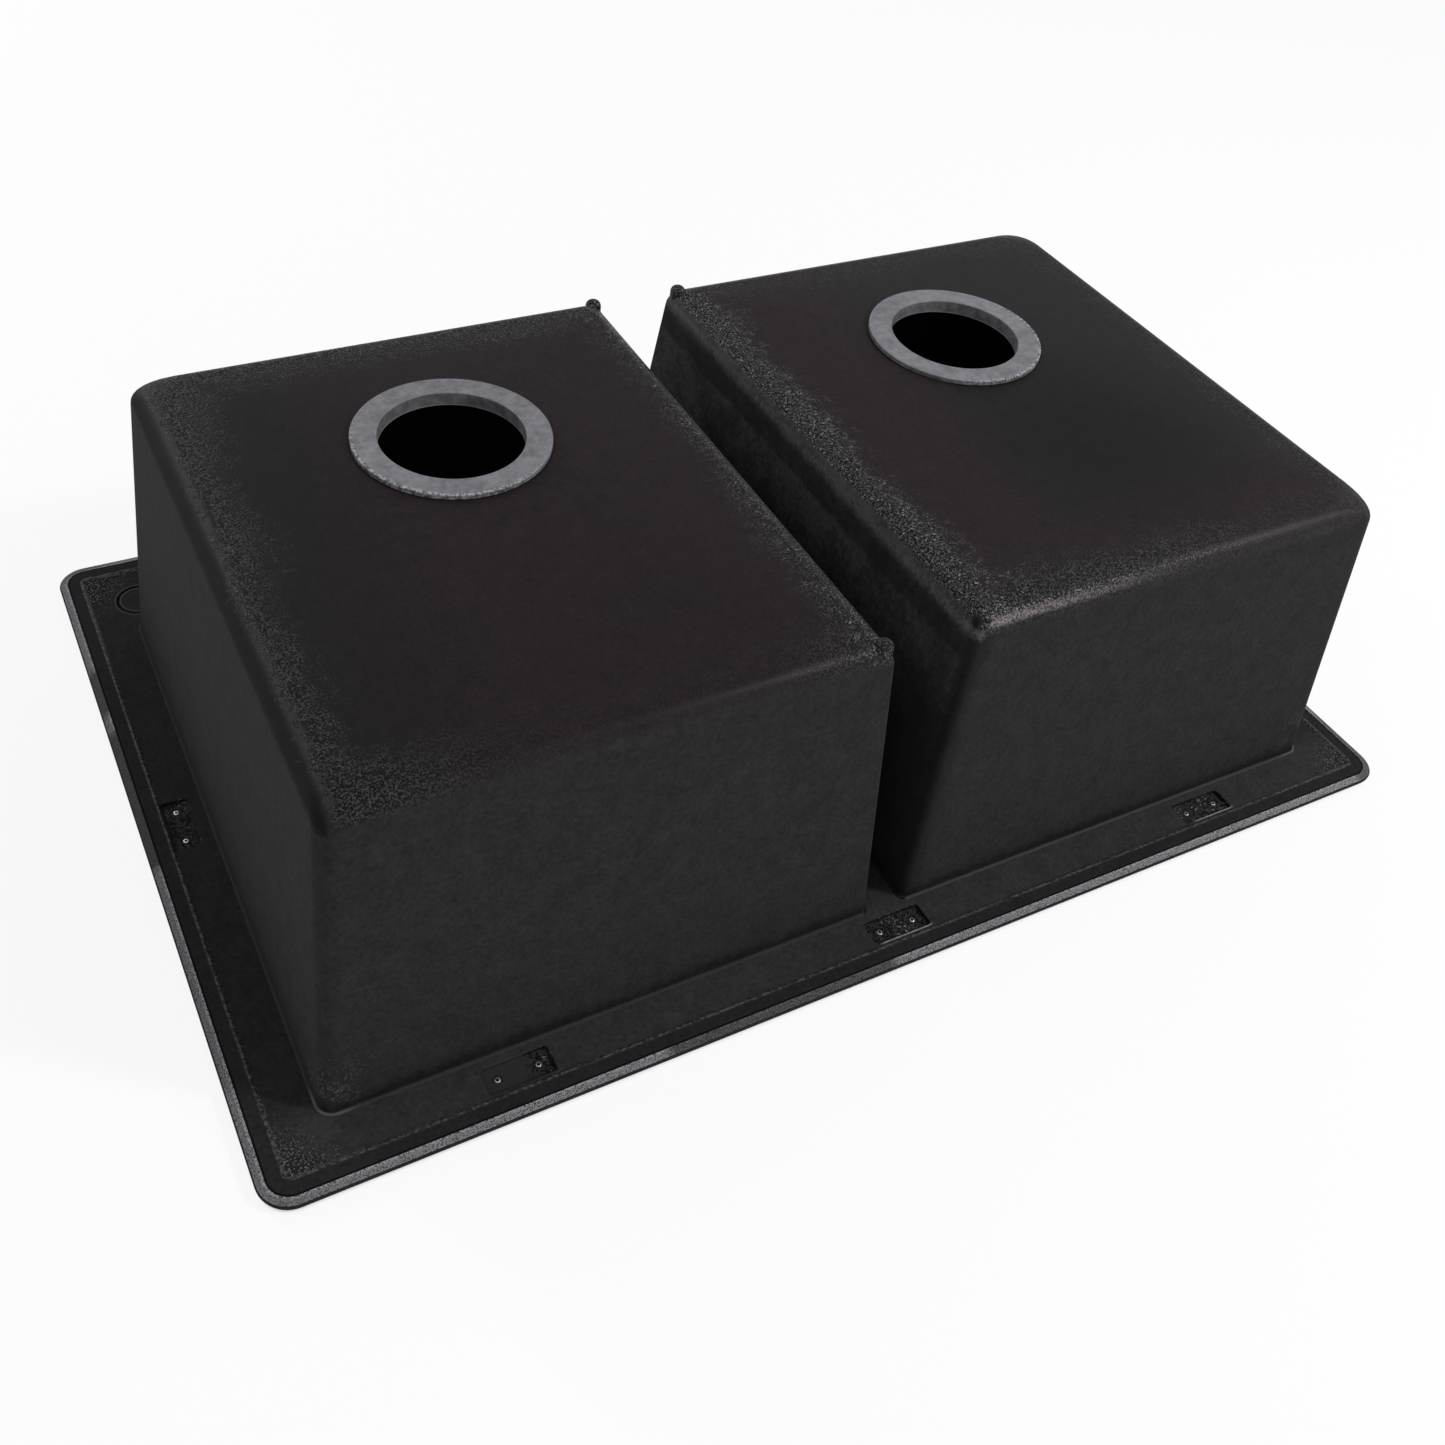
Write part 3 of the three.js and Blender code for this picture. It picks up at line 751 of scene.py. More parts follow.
def grain_share(n):
    """The share of pebbled grain, which lies along the edges of the bottoms."""
    front_left = n.most(n.ranged(n.side, -350 * MM, -240 * MM, 1.0, 0.15),
                        n.ranged(n.side, -110 * MM, -30 * MM, 0.15, 0.8))
    front_right = n.ranged(n.side, 120 * MM, 280 * MM, 1.0, 0.35)
    widening = n.ranged(n.most(n.minus(180 * MM, n.y), n.times(n.is_right, 160 * MM)),
                        0.0, 160 * MM, 0.0, 20 * MM)
    # The distance from each edge, the distances between which the grain thins out, in mm, and
    # its share on the left-hand and on the right-hand bowl.
    borders = ((n.front, 4, 42, front_left, front_right),
               (n.plus(n.outer, widening), 30, 62, 1.0, 0.5),
               (n.back, 10, 50, 1.0, 0.55),
               (n.gap, 8, 34, 0.8, 1.0))
    grain = n.most(*(n.times(n.fade(n.plus(distance, n.ragged), near * MM, far * MM),
                             n.by_bowl(left, right))
                     for distance, near, far, left, right in borders))
    inside = n.times(n.ranged(n.plus(n.outer, n.times(n.ragged, 0.5)), 6 * MM, 13 * MM),
                     n.ranged(n.gap, 0.5 * MM, 3.5 * MM))
    return n.times(grain, inside, n.ranged(n.z, 212 * MM, 223 * MM))


def grain_tone(n):
    """Pebbles over crevices darkened as painted shade; beside the gap the pebbles are painted
    lighter, with painted glints.
    """
    beside_gap = n.fade(n.plus(n.gap, n.ragged), n.by_bowl(4 * MM, 20 * MM),
                        n.by_bowl(16 * MM, 40 * MM))
    tone = n.blend(beside_gap, n.tones.pebble, n.tones.dust_and_painted_light * 1.05)
    # Painted glints beside the gap.
    painted_glints = n.times(n.spots(640, 2, 0.6, 0.58, 0.65), beside_gap)
    return n.blend(n.pebble, n.tones.crevice_and_painted_shade, n.blend(painted_glints, tone, n.tones.chip_and_glint))


def bottom_tone(n):
    """The smooth part of a bottom: a warm middle, darker towards one side of each bowl."""
    off_outer = n.plus(n.outer, n.times(n.ragged, 1.2),
                       n.ranged(n.y, -120 * MM, 60 * MM, 28 * MM, 0.0))
    warm_left = n.ranged(off_outer, 45 * MM, 115 * MM)
    warm_right = n.most(n.fade(n.plus(n.x, n.ragged), 110 * MM, 165 * MM),
                        n.fade(n.plus(n.front, n.ragged), 40 * MM, 85 * MM))
    warm = n.times(n.by_bowl(warm_left, warm_right), n.spots(9, 2, 0.5, 0.25, 0.5, 0.6, 1.0))
    dark_spot = n.distance(n.minus(n.x, 215 * MM), n.plus(n.y, 85 * MM))
    dim = n.by_bowl(n.ranged(off_outer, 70 * MM, 150 * MM, 0.66, 0.82),
                    n.ranged(dark_spot, 20 * MM, 140 * MM, 0.50, 0.95))
    return n.shade(n.blend(warm, n.tones.bottom, n.tones.warm), dim)


def wall_tone(n):
    """Plain walls; the gap walls get dust streaks and painted light, lighter towards the top, and
    the right-hand bowl's walls get painted shade near the gap.
    """
    below = n.minus(n.corner_line, n.z)
    lifted = n.minus(n.z, n.ranged(n.y, -200 * MM, 50 * MM, 20 * MM, 0.0))
    # The gap walls are painted lighter, partly as dust and partly as light, less so in a darker
    # band below the shoulder.
    darker_band = n.ranged(n.band(n.z, 194 * MM, 210 * MM, 4 * MM), 0.0, 1.0, 1.0, 0.25)
    dust_and_painted_light = n.times(n.fade(n.gap, 1 * MM, 5 * MM),
                   n.ranged(lifted, 90 * MM, 190 * MM), darker_band,
                   n.spots(160, 4, 0.7, 0.35, 0.62, 0.45, 1.35, smooth=False),
                   n.ranged(n.plus(n.front, n.times(below, 0.105)), 3 * MM, 12 * MM),
                   n.ranged(n.y, -220 * MM, -80 * MM, 0.55, 1.0),
                   n.spots(30, 5, 0.7, 0.38, 0.62, 0.55, 1.3), clamp=True)
    # Painted shade on the right-hand bowl's walls near the gap.
    from_gap = n.plus(n.gap, n.times(below, math.tan(n.bowl.gap_draft)))
    gap_edge_shade = n.ranged(from_gap, 2 * MM, 16 * MM, 0.55, 1.0)
    return n.shade(n.blend(dust_and_painted_light, n.tones.skin, n.tones.dust_and_painted_light), n.by_bowl(1.0, gap_edge_shade))


def bowl_tone(n, grain):
    """Walls, shoulders and bottoms, with the grain, painted shade and painted highlights on top."""
    tone = n.blend(n.up, wall_tone(n), bottom_tone(n))
    # Painted shade in a band along the outer shoulders.
    shoulder_shade = n.times(n.band(n.outer, -0.8 * MM, 4.2 * MM, 1 * MM),
                        n.ranged(n.z, 209 * MM, 212 * MM), 0.60)
    tone = n.blend(shoulder_shade, tone, n.tones.crevice_and_painted_shade)
    # A painted highlight band on the outer shoulders.
    painted_sheen = n.times(n.band(n.outer, 6.2 * MM, 11.2 * MM, 1.4 * MM),
                       n.ranged(n.z, 215 * MM, 220 * MM), 0.9)
    tone = n.shade(n.blend(painted_sheen, tone, n.tones.painted_sheen), n.mottle)
    tone = n.blend(grain, tone, grain_tone(n))
    # A painted highlight along the right-hand bowl's gap shoulder.
    gap_highlight = n.times(n.fade(n.gap, 3.5 * MM, 5.5 * MM), n.is_right,
                       n.band(n.z, 212.5 * MM, 218.5 * MM, 2 * MM),
                       n.spots(420, 3, 0.7, 0.40, 0.60, 0.15, 1.0, smooth=False))
    tone = n.blend(gap_highlight, tone, n.tones.dust_and_painted_light)
    # The wall's foot at the outer front corner is speckled too.
    foot_corner = n.times(n.ranged(n.plus(n.minus(n.x, n.y), n.ragged), 565 * MM, 600 * MM),
                          n.ranged(n.z, 10 * MM, 14 * MM), n.fade(n.z, 30 * MM, 60 * MM))
    tone = n.blend(n.times(foot_corner, n.dots, n.spots(60, 3, 0.5, 0.42, 0.58)), tone,
                   n.tones.dust_and_painted_light)
    # A speckled painted highlight on the right-hand bowl's front shoulder.
    front_shoulder_highlight = n.times(n.ranged(n.z, 217.2 * MM, 220.5 * MM),
                         n.fade(n.z, 221.5 * MM, 224.2 * MM),
                         n.fade(n.front, 10 * MM, 14 * MM),
                         n.ranged(n.side, 34 * MM, 38 * MM), n.fade(n.side, 35 * MM, 200 * MM),
                         n.spots(700, 2, 0.6, 0.42, 0.58, 0.2, 1.25), 0.85)
    tone = n.blend(front_shoulder_highlight, tone, n.tones.front_highlight_colour)
    # A dark ring round each drain collar: the joint, with a painted contact shadow.
    from_drain = n.distance(n.minus(n.x, DRAIN.x), n.minus(n.y, DRAIN.y))
    joint_and_shadow = n.times(n.band(from_drain, COLLAR_RADIUS, COLLAR_RADIUS + 1.1 * MM, 0.4 * MM), 0.7)
    return n.blend(joint_and_shadow, tone, n.tones.crevice_and_painted_shade)


def field_tone(n):
    """The rim's field: lighter in front, darker in the corners with light dots painted as glints,
    and painted highlights round the knock-outs.
    """
    field = n.ranged(n.inset, n.ring_end, n.ring_end + n.rim.step_run)
    tone = n.shade(n.blend(n.times(n.on_front, field), n.tones.rim, n.tones.rim * 1.75), n.mottle)
    from_corner = n.plus(n.minus(RIM_HIGH.x, n.x), n.minus(RIM_HIGH.y, n.absolute(n.y)), n.ragged)
    in_corner = n.times(n.fade(from_corner, 50 * MM, 80 * MM), field)
    tone = n.blend(n.times(in_corner, 0.5), tone, n.tones.crevice_and_painted_shade)
    # Light dots in the corners are painted glints.
    tone = n.blend(n.times(n.dots, in_corner), tone, n.tones.dust_and_painted_light * 1.6)
    off_knockout = n.absolute(n.minus(n.x, RIM_HIGH.x - n.rim.knockout_inset))
    from_knockout = n.distance(n.maths("MINIMUM", off_knockout, n.x),
                               n.minus(n.y, RIM_HIGH.y - n.rim.knockout_inset))
    from_groove = n.absolute(n.minus(from_knockout, n.rim.knockout_diameter / 2))
    # Painted highlights in rings round the knock-outs.
    knockout_highlights = n.times(n.band(from_groove, 1.4 * MM, 2.3 * MM, 0.3 * MM), 0.7)
    return n.blend(knockout_highlights, tone, n.tones.dust_and_painted_light)


def pocket_tone(n):
    """The clip pockets: rough, with chips about the inserts and painted shade on their walls, but
    for the calm half of one.
    """
    tone = n.blend(n.spots(600, 3, 0.6, 0.35, 0.65), n.tones.crevice_and_painted_shade, n.tones.worn_and_painted_light)
    chips = n.times(n.spots(620, 4, 0.7, 0.58, 0.66), n.spots(75, 2, 0.5, 0.47, 0.60))
    tone = n.blend(chips, tone, n.tones.chip_and_glint)
    calm = n.times(n.fade(n.side, -262 * MM, -252 * MM),
                   n.ranged(n.side, -300 * MM, -290 * MM), n.on_front)
    tone = n.blend(calm, tone, n.tones.rim * 1.7)
    # The pocket walls are painted dark as shade, less so in the calm half.
    wall = n.times(n.band(n.z, 4.8 * MM, 6.4 * MM, 0.3 * MM), n.ranged(calm, 0.0, 1.0, 0.85, 0.3))
    return n.blend(wall, tone, n.tones.crevice_and_painted_shade)


def rim_tone(n, in_pocket):
    """The rim's underside from its ring to the bead round the feet of the bowls."""
    ring_edge = n.band(n.inset, n.ring_start - 0.5 * MM, n.ring_start + 1.2 * MM, 0.4 * MM)
    tone = n.blend(ring_edge, field_tone(n), n.tones.crevice_and_painted_shade)
    # The bead between ring and field gets a knobbly painted highlight.
    tone = n.blend(n.times(n.bead, n.knobs, 0.75), tone, n.tones.dust_and_painted_light)
    tone = n.blend(in_pocket, tone, pocket_tone(n))
    # The toe bead gets a painted highlight, brightest on the right-hand bowl's front, and painted
    # shade inside the gap.
    toe_bead = n.times(n.band(n.z, FIELD + 0.1 * MM, n.toe + 0.1 * MM, 0.1 * MM),
                       n.ranged(n.inset, 39.5 * MM, 40.5 * MM))
    toe_light_and_shade = n.blend(n.times(n.is_right, n.on_front), n.tones.worn_and_painted_light, n.tones.dust_and_painted_light * 0.7)
    toe_light_and_shade = n.blend(n.fade(n.x, 15.5 * MM, 17.5 * MM), toe_light_and_shade, n.tones.crevice_and_painted_shade)
    tone = n.blend(n.times(toe_bead, n.knobbly), tone, toe_light_and_shade)
    toe_corner = n.times(toe_bead, n.ranged(n.minus(n.x, n.y), 588 * MM, 600 * MM))
    tone = n.blend(toe_corner, tone, n.tones.dust_and_painted_light)
    # The front edges of two clip pockets get a painted highlight.
    pocket_edge_highlights = n.times(n.most(n.band(n.side, -17 * MM, 21 * MM, 3 * MM),
                                n.band(n.side, 250 * MM, 285 * MM, 3 * MM)),
                         n.band(n.y, -260.8 * MM, -259.1 * MM, 0.3 * MM), n.knobbly)
    return n.blend(pocket_edge_highlights, tone, n.tones.chip_and_glint)


def plain_share(n):
    """1 on the show face and inside the bowls, where the moulding is plain."""
    below = n.minus(n.corner_line, n.z)
    inward = 1.0
    for distance, wall in zip((n.front, n.outer, n.back, n.gap), n.walls):
        lean = n.times(below, math.tan(wall.draft))
        inward = n.maths("MINIMUM", inward, n.plus(distance, lean))
    limit = n.ranged(inward, 16 * MM, 34 * MM, n.corner_line - 8.2 * MM, n.corner_line - 1 * MM)
    inside = n.times(n.ranged(inward, 6.2 * MM, 7.4 * MM), n.maths("LESS_THAN", n.z, limit))
    return n.most(inside, n.fade(n.z, 3.5 * MM, 4.2 * MM))


def skin_material(finish):
    """Pebbled along the edges of the bottoms and at the rim's corners, smooth elsewhere."""
    n = SkinNodes("moulded_skin")
    grain = grain_share(n)
    in_pocket = n.times(n.band(n.inset, 18.5 * MM, 38.5 * MM, 0.5 * MM),
                        n.band(n.z, 4 * MM, FIELD - 0.2 * MM, 0.2 * MM))
    ragged_z = n.plus(n.z, n.times(n.ragged, 0.3))
    # Painted shade on the lowest part of the walls, just above the toe bead.
    shade_above_toe = n.times(n.ranged(n.z, n.toe, n.toe + MM),
                        n.fade(ragged_z, FIELD + 2 * MM, FIELD + 13 * MM),
                        n.ranged(n.minus(n.outer, n.front), -10 * MM, 0.0, 0.25, 0.6))
    base = n.blend(shade_above_toe, bowl_tone(n, grain), finish.crevice_and_painted_shade)
    on_rim = n.times(n.most(n.fade(n.z, n.toe, n.toe + 0.2 * MM),
                            n.fade(n.inset, 18.5 * MM, 19 * MM)),
                     n.minus(1.0, n.times(grain, n.minus(1.0, n.bead))))
    base = n.blend(on_rim, base, rim_tone(n, in_pocket))
    plain = plain_share(n)
    base = n.blend(plain, base, finish.show)

    rough_spots = n.times(n.most(in_pocket, n.times(n.bead, 0.6)), n.knobs)
    height = n.times(n.plus(n.times(n.plus(n.pebble, n.shine), grain), rough_spots),
                     n.fade(plain, 0.0, 1.0))
    normal = n.bump(height, 0.045 * MM, 0.8, n.bump(n.noise(1400, 3), 0.02 * MM, 0.35))
    crevices = n.times(grain, n.minus(1.0, n.pebble))
    shoulder = n.times(n.ranged(n.z, 212 * MM, 220 * MM), n.fade(n.z, 226.2 * MM, 227.2 * MM),
                       n.ranged(n.outer, 5 * MM, 35 * MM), n.minus(1.0, crevices))
    polish = n.most(shoulder, n.times(n.shine, grain), n.times(n.bead, 0.7))
    rough = n.mix(polish, n.ranged(n.up, 0.0, 1.0, 0.9, 0.62), 0.27)
    return n.finish(base, n.mix(plain, rough, 0.55), normal, specular=0.08)


def ground_material(finish):
    """Composite ground flat: fine mottling and, on the collars, turned rings."""
    n = MaterialNodes("ground_stone")
    x, y, z = n.split()
    across = n.minus(n.absolute(x), DRAIN.x)
    along = n.minus(y, DRAIN.y)
    radius = n.distance(across, along)
    turned = n.add("ShaderNodeCombineXYZ")
    n.link(radius, turned.inputs[0])
    rings = n.times(n.noise(1600, 2, place=turned.outputs[0]), n.fade(radius, 64 * MM, 70 * MM))
    speck = n.spots(150, 6, 0.8, 0.41, 0.59, smooth=False)
    cloud = n.spots(45, 3, 0.5, 0.38, 0.62)
    pale = n.plus(n.times(speck, 0.5), n.times(rings, 0.4), n.times(cloud, 0.3), clamp=True)
    base = n.blend(pale, finish.ground * 0.52, finish.ground * 1.15)
    near_edge = n.times(n.ranged(radius, COLLAR_RADIUS - 3 * MM, COLLAR_RADIUS - 1 * MM),
                        n.ranged(n.minus(across, along), 0.0, 60 * MM))
    chips = n.spots(420, 4, 0.7, 0.44, 0.58)
    base = n.blend(n.times(near_edge, chips, 0.7), base, finish.ground * 2.2)
    base = n.blend(n.times(near_edge, n.ranged(chips, 0.0, 0.5, 0.6, 0.0)), base, finish.worn_and_painted_light)
    below = n.fade(z, COLLAR_HIGH.z - 0.9 * MM, COLLAR_HIGH.z - 0.5 * MM)
    base = n.blend(n.times(below, n.spots(200, 3, 0.5, 0.35, 0.6, 0.60, 0.35)), base, finish.skin)
    ledge = n.times(n.fade(z, 225.3 * MM, 225.8 * MM), 0.8)
    base = n.blend(ledge, base, finish.ground)
    height = n.plus(rings, n.times(speck, 0.5))
    return n.finish(base, 0.6, n.bump(height, 0.05 * MM, 0.5), specular=0.2)


def strip_material(finish):
    """The ground strip round the rim: bare stone, with lengths where the dark skin is left."""
    n = MaterialNodes("ground_strip")
    x, y, _ = n.split()
    ragged = n.spots(60, 3, 0.5, 0.3, 0.7, -6 * MM, 6 * MM, smooth=False)
    along_x, along_y = n.plus(x, ragged), n.plus(y, ragged)
    left = n.times(n.most(n.band(along_y, -27 * MM, 98 * MM, 4 * MM),
                          n.band(along_y, 115 * MM, 163 * MM, 4 * MM)),
                   n.fade(x, -405 * MM, -404 * MM))
    front = n.times(n.band(along_x, -175 * MM, -16 * MM, 6 * MM),
                    n.fade(y, -266 * MM, -265 * MM), 0.75)
    far = n.most(n.ranged(n.plus(x, n.times(y, -0.3)), 475 * MM, 485 * MM),
                 n.ranged(n.minus(y, n.times(x, 0.3)), 385 * MM, 400 * MM))
    speck = n.spots(1200, 2, 0.6, 0.42, 0.52)
    bare = n.blend(speck, finish.strip * 0.16, finish.strip)
    # The strip's outer part is painted darker as shade on the edge, more so towards the left end.
    outer = n.times(n.fade(rim_inset_nodes(n, n.absolute(x), y), 3.5 * MM, 5.2 * MM),
                    n.ranged(x, -300 * MM, -430 * MM, 0.25, 0.55))
    bare = n.blend(outer, bare, finish.worn_and_painted_light)
    dark = n.blend(speck, finish.crevice_and_painted_shade, finish.skin * 1.5)
    base = n.blend(n.most(left, front, n.times(far, 0.7)), bare, dark)
    return n.finish(base, 0.6, n.bump(speck, 0.04 * MM, 0.5), specular=0.2)


def metal_material(finish):
    """The bright metal of the inserts' lips."""
    n = MaterialNodes("insert_bush")
    return n.finish(finish.metal, n.spots(1500, 2, 0.5, 0.3, 0.7, 0.3, 0.5),
                    n.bump(n.noise(3000), 0.03 * MM, 0.4), metallic=0.9)


def dull_material(finish):
    """The dark and dirty bodies of the inserts."""
    n = MaterialNodes("insert_body")
    tone = n.blend(n.spots(900, 3, 0.5, 0.35, 0.65), finish.crevice_and_painted_shade, finish.worn_and_painted_light)
    return n.finish(tone, 0.7, n.bump(n.noise(1500), 0.05 * MM, 0.5), specular=0.2)


MATERIALS = {"moulded_skin": skin_material, "ground_stone": ground_material,
             "ground_strip": strip_material, "insert_bush": metal_material,
             "insert_body": dull_material}


def coat(piece, *names):
    """Gives a piece its materials, made when they are first asked for."""
    piece.data.materials.clear()
    for name in names:
        if name not in bpy.data.materials:
            MATERIALS[name](bpy.context.scene.sink_finish)
        piece.data.materials.append(bpy.data.materials[name])


def coat_faces(piece, slot, test):
    """Gives the faces that pass a test another of the piece's materials."""
    piece.active_material_index = slot
    on_picked(piece, "polygons", test, bpy.ops.object.material_slot_assign)


# ---------------------------------------------------------------- operators


def rim_inset(s, point):
    """How far a point lies inside the rim's edge, seen from above."""
    x = abs(point.x) - (RIM_HIGH.x - s.corner_radius)
    y = abs(point.y) - (RIM_HIGH.y - s.corner_radius)
    if x > 0 and y > 0:
        return s.corner_radius - math.hypot(x, y)
    return s.corner_radius - max(x, y)


# Shares of the bead's width, of its rise over the ring and of the drop to the field.
BEAD = ((0.15, 0.6, 0), (0.32, 1, 0), (0.52, 0.75, 0), (0.70, 0, 0.25), (0.85, 0, 0.75), (1, 0, 1))


class SINK_OT_build_rim(bpy.types.Operator):
    """Builds the rim: edge strip, worktop ring, field, bowl mouths, clip pockets, knock-outs"""

    bl_idname = "sink.build_rim"
    bl_label = "Build rim"

    def execute(self, context):
        s = context.scene.sink_rim
        thickness = RIM_HIGH.z
        ring_start = s.arris + s.strip_width
        ring_end = ring_start + s.ring_width
        profile = quarter_round(s.show_edge_radius, 10)
        profile += [(0, thickness - s.strip_fall - s.arris), (s.arris, thickness - s.strip_fall),
                    (ring_start, thickness - HAIR), (ring_end, thickness)]
        profile += [(ring_end + s.step_run * share,
                     thickness + s.bead_rise * rise - (thickness - FIELD) * fall)
                    for share, rise, fall in BEAD]
        lines = []
        for inset, level in profile:
            radius = max(s.corner_radius - inset, 2 * MM)
            lines.append(outline((RIM_LOW.x + inset, RIM_LOW.y + inset),
                                 (RIM_HIGH.x - inset, RIM_HIGH.y - inset),
                                 level, radius, radius, 12, 0))
        rim = skin(lines, False)
        self.cut_mouths(context.scene.sink_bowl, rim)
        self.cut_pockets(s, rim)
        self.cut_knockouts(s, rim)
        name_it(rim, "rim_casting")
        close(rim, 9.5)
        coat(rim, "moulded_skin", "ground_strip")
        # The strip slopes by 6 to 14 degrees.
        coat_faces(rim, 1, lambda f: 0.97 < f.normal.z < 0.995 and f.center.z > FIELD and
                   rim_inset(s, f.center) < ring_start)
        dress(rim, "rim_deck")
        return {"FINISHED"}

    def cut_mouths(self, s, rim):
        spread = 5 * MM
        lines = []
        for widened, level in ((spread, -MM), *quarter_round(spread, 8), (0, FIELD + MM)):
            places = [side.place(s.wall - widened, FIELD) for side in bowl_sides(s)]
            radius = s.inner_corner + widened
            lines.append(bowl_line(s, places, level, radius, radius))
        cutter = skin(lines, False)
        boolean(rim, join([cutter, mirrored(cutter, "mouth_cut_left")]))

    def cut_pockets(self, s, rim):
        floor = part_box(INSERTS[0])[1].z
        wall_height = FIELD - s.pocket_flare - floor
        bpy.ops.mesh.primitive_cube_add(size=1, location=(0, 0, floor + wall_height / 2))
        bpy.ops.transform.resize(value=(s.pocket_length, s.pocket_width, wall_height))
        cutter = bpy.context.active_object
        settle(cutter)
        mesh = cutter.data
        on_picked(cutter, "edges", lambda e: abs(edge_span(mesh, e).normalized().z) > MOSTLY,
                  bpy.ops.mesh.bevel, offset=s.pocket_corner, segments=6, affect="EDGES")
        pick(cutter, "polygons", lambda f: f.normal.z > MOSTLY)
        flare = 2 * s.pocket_flare
        bpy.ops.mesh.extrude_region_move(TRANSFORM_OT_translate={"value": (0, 0, s.pocket_flare)})
        bpy.ops.transform.resize(value=((s.pocket_length + flare) / s.pocket_length,
                                        (s.pocket_width + flare) / s.pocket_width, 1),
                                 center_override=(0, 0, FIELD))
        bpy.ops.mesh.extrude_region_move(TRANSFORM_OT_translate={"value": (0, 0, 2 * MM)})
        leave()
        cuts = []
        for pocket in POCKETS:
            first, second = (centre_of(f"{pocket}_insert_{number}") for number in (1, 2))
            cut = copy_at(cutter, f"{pocket}_cut")
            if abs(second.y - first.y) > abs(second.x - first.x):
                bpy.ops.transform.rotate(value=QUARTER_TURN, orient_axis="Z",
                                         center_override=(0, 0, 0))
                settle(cut)
            middle = (first + second) / 2
            bpy.ops.transform.translate(value=(middle.x, middle.y, 0))
            settle(cut)
            cuts.append(cut)
        remove(cutter)
        holes = []
        for node in INSERTS:
            low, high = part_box(node)
            depth = high.z - low.z + MM
            holes.append(primitive(
                bpy.ops.mesh.primitive_cylinder_add, vertices=32, depth=depth,
                radius=(high.x - low.x) / 2 + s.insert_clearance,
                location=((low.x + high.x) / 2, (low.y + high.y) / 2, low.z + depth / 2)))
        boolean(rim, join(cuts))
        boolean(rim, join(holes))

    def cut_knockouts(self, s, rim):
        x = RIM_HIGH.x - s.knockout_inset
        y = RIM_HIGH.y - s.knockout_inset
        grooves = []
        for place in ((-x, y, FIELD), (0, y, FIELD), (x, y, FIELD)):
            groove = primitive(bpy.ops.mesh.primitive_torus_add, location=place,
                               major_segments=64, minor_segments=12,
                               major_radius=s.knockout_diameter / 2,
                               minor_radius=s.groove_width / 2)
            on_all(groove, bpy.ops.transform.resize, center_override=place,
                   value=(1, 1, 2 * s.groove_depth / s.groove_width))
            grooves.append(groove)
        boolean(rim, join(grooves))


class SINK_OT_build_bowls(bpy.types.Operator):
    """Builds both bowls: drafted walls, rounded shoulders, crowned bottoms, drain holes, bosses"""

    bl_idname = "sink.build_bowls"
    bl_label = "Build bowls"

    def execute(self, context):
        s = context.scene.sink_bowl
        drain = context.scene.sink_drain
        lines, cuts = bowl_lines(s, drain)
        bowl = skin(lines, True, cuts)
        top = SEAT - s.crown
        front, _, back, gap = bowl_sides(s)
        for side in (front, back):
            add_boss(s, bowl, gap.place(s.boss_radius, top), side.place(s.boss_radius, top),
                     top + s.boss_proud)
        name_it(bowl, "right_bowl_shell")
        reach = drain.diameter / 2 + MM
        for piece, node, x in ((bowl, "right_bowl", DRAIN.x),
                               (mirrored(bowl, "left_bowl_shell"), "left_bowl", -DRAIN.x)):
            close(piece, 32)
            coat(piece, "moulded_skin", "ground_stone")
            coat_faces(piece, 1, lambda f: abs(f.normal.z) < 1 - MOSTLY and
                       math.hypot(f.center.x - x, f.center.y - DRAIN.y) < reach)
            dress(piece, node)
        return {"FINISHED"}


class SINK_OT_build_collars(bpy.types.Operator):
    """Builds the two ground drain collars"""

    bl_idname = "sink.build_collars"
    bl_label = "Build drain collars"

    def execute(self, context):
        s = context.scene.sink_drain
        hole = s.diameter / 2
        collar = bush(COLLAR_RADIUS, hole, SEAT, COLLAR_HIGH.z, 160)
        on_picked(collar, "edges",
                  lambda e: on_level(collar.data, e, COLLAR_HIGH.z, COLLAR_RADIUS, hole),
                  bpy.ops.mesh.bevel, offset=s.chamfer, segments=4, affect="EDGES")
        for side, x in (("left", -DRAIN.x), ("right", DRAIN.x)):
            twin = copy_at(collar, f"{side}_drain_ring", (x, DRAIN.y, 0))
            close(twin, 30)
            coat(twin, "ground_stone")
            dress(twin, f"{side}_drain_collar")
        remove(collar)
        return {"FINISHED"}


class SINK_OT_build_inserts(bpy.types.Operator):
    """Builds the press-in inserts of the clip pockets"""

    bl_idname = "sink.build_inserts"
    bl_label = "Build inserts"

    def execute(self, context):
        s = context.scene.sink_insert
        low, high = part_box(INSERTS[0])
        radius = (high.x - low.x) / 2
        lip = s.lip / 2
        # The body starts a little outside the lip, and faces this near to a ring belong to it.
        gap = 0.05 * MM
        near = 0.02 * MM
        body = bush(radius, lip + gap, low.z, high.z - s.lip_fall, 32)
        collar = bush(lip, s.bore / 2, low.z, high.z, 32)
        for ring, outer, top in ((body, radius, high.z - s.lip_fall), (collar, lip, high.z)):
            on_picked(ring, "edges", lambda e: on_level(ring.data, e, top, outer),
                      bpy.ops.mesh.bevel, offset=s.chamfer, segments=3, affect="EDGES")
        insert = join([collar, body])
        for node in INSERTS:
            middle = centre_of(node)
            twin = copy_at(insert, f"{node}_bush", (middle.x, middle.y, 0))
            close(twin, 30)
            coat(twin, "insert_bush", "insert_body")
            coat_faces(twin, 1, lambda f: not s.bore / 2 + near <= (
                f.center.xy - middle.xy).length <= lip + near)
            dress(twin, node)
        remove(insert)
        return {"FINISHED"}


def seen_directly(n):
    """1 for rays from the camera and for those that gloss or glass sends on, else 0."""
    path = n.add("ShaderNodeLightPath")
    return n.most(*(path.outputs[name] for name in (
        "Is Camera Ray", "Is Glossy Ray", "Is Transmission Ray")))


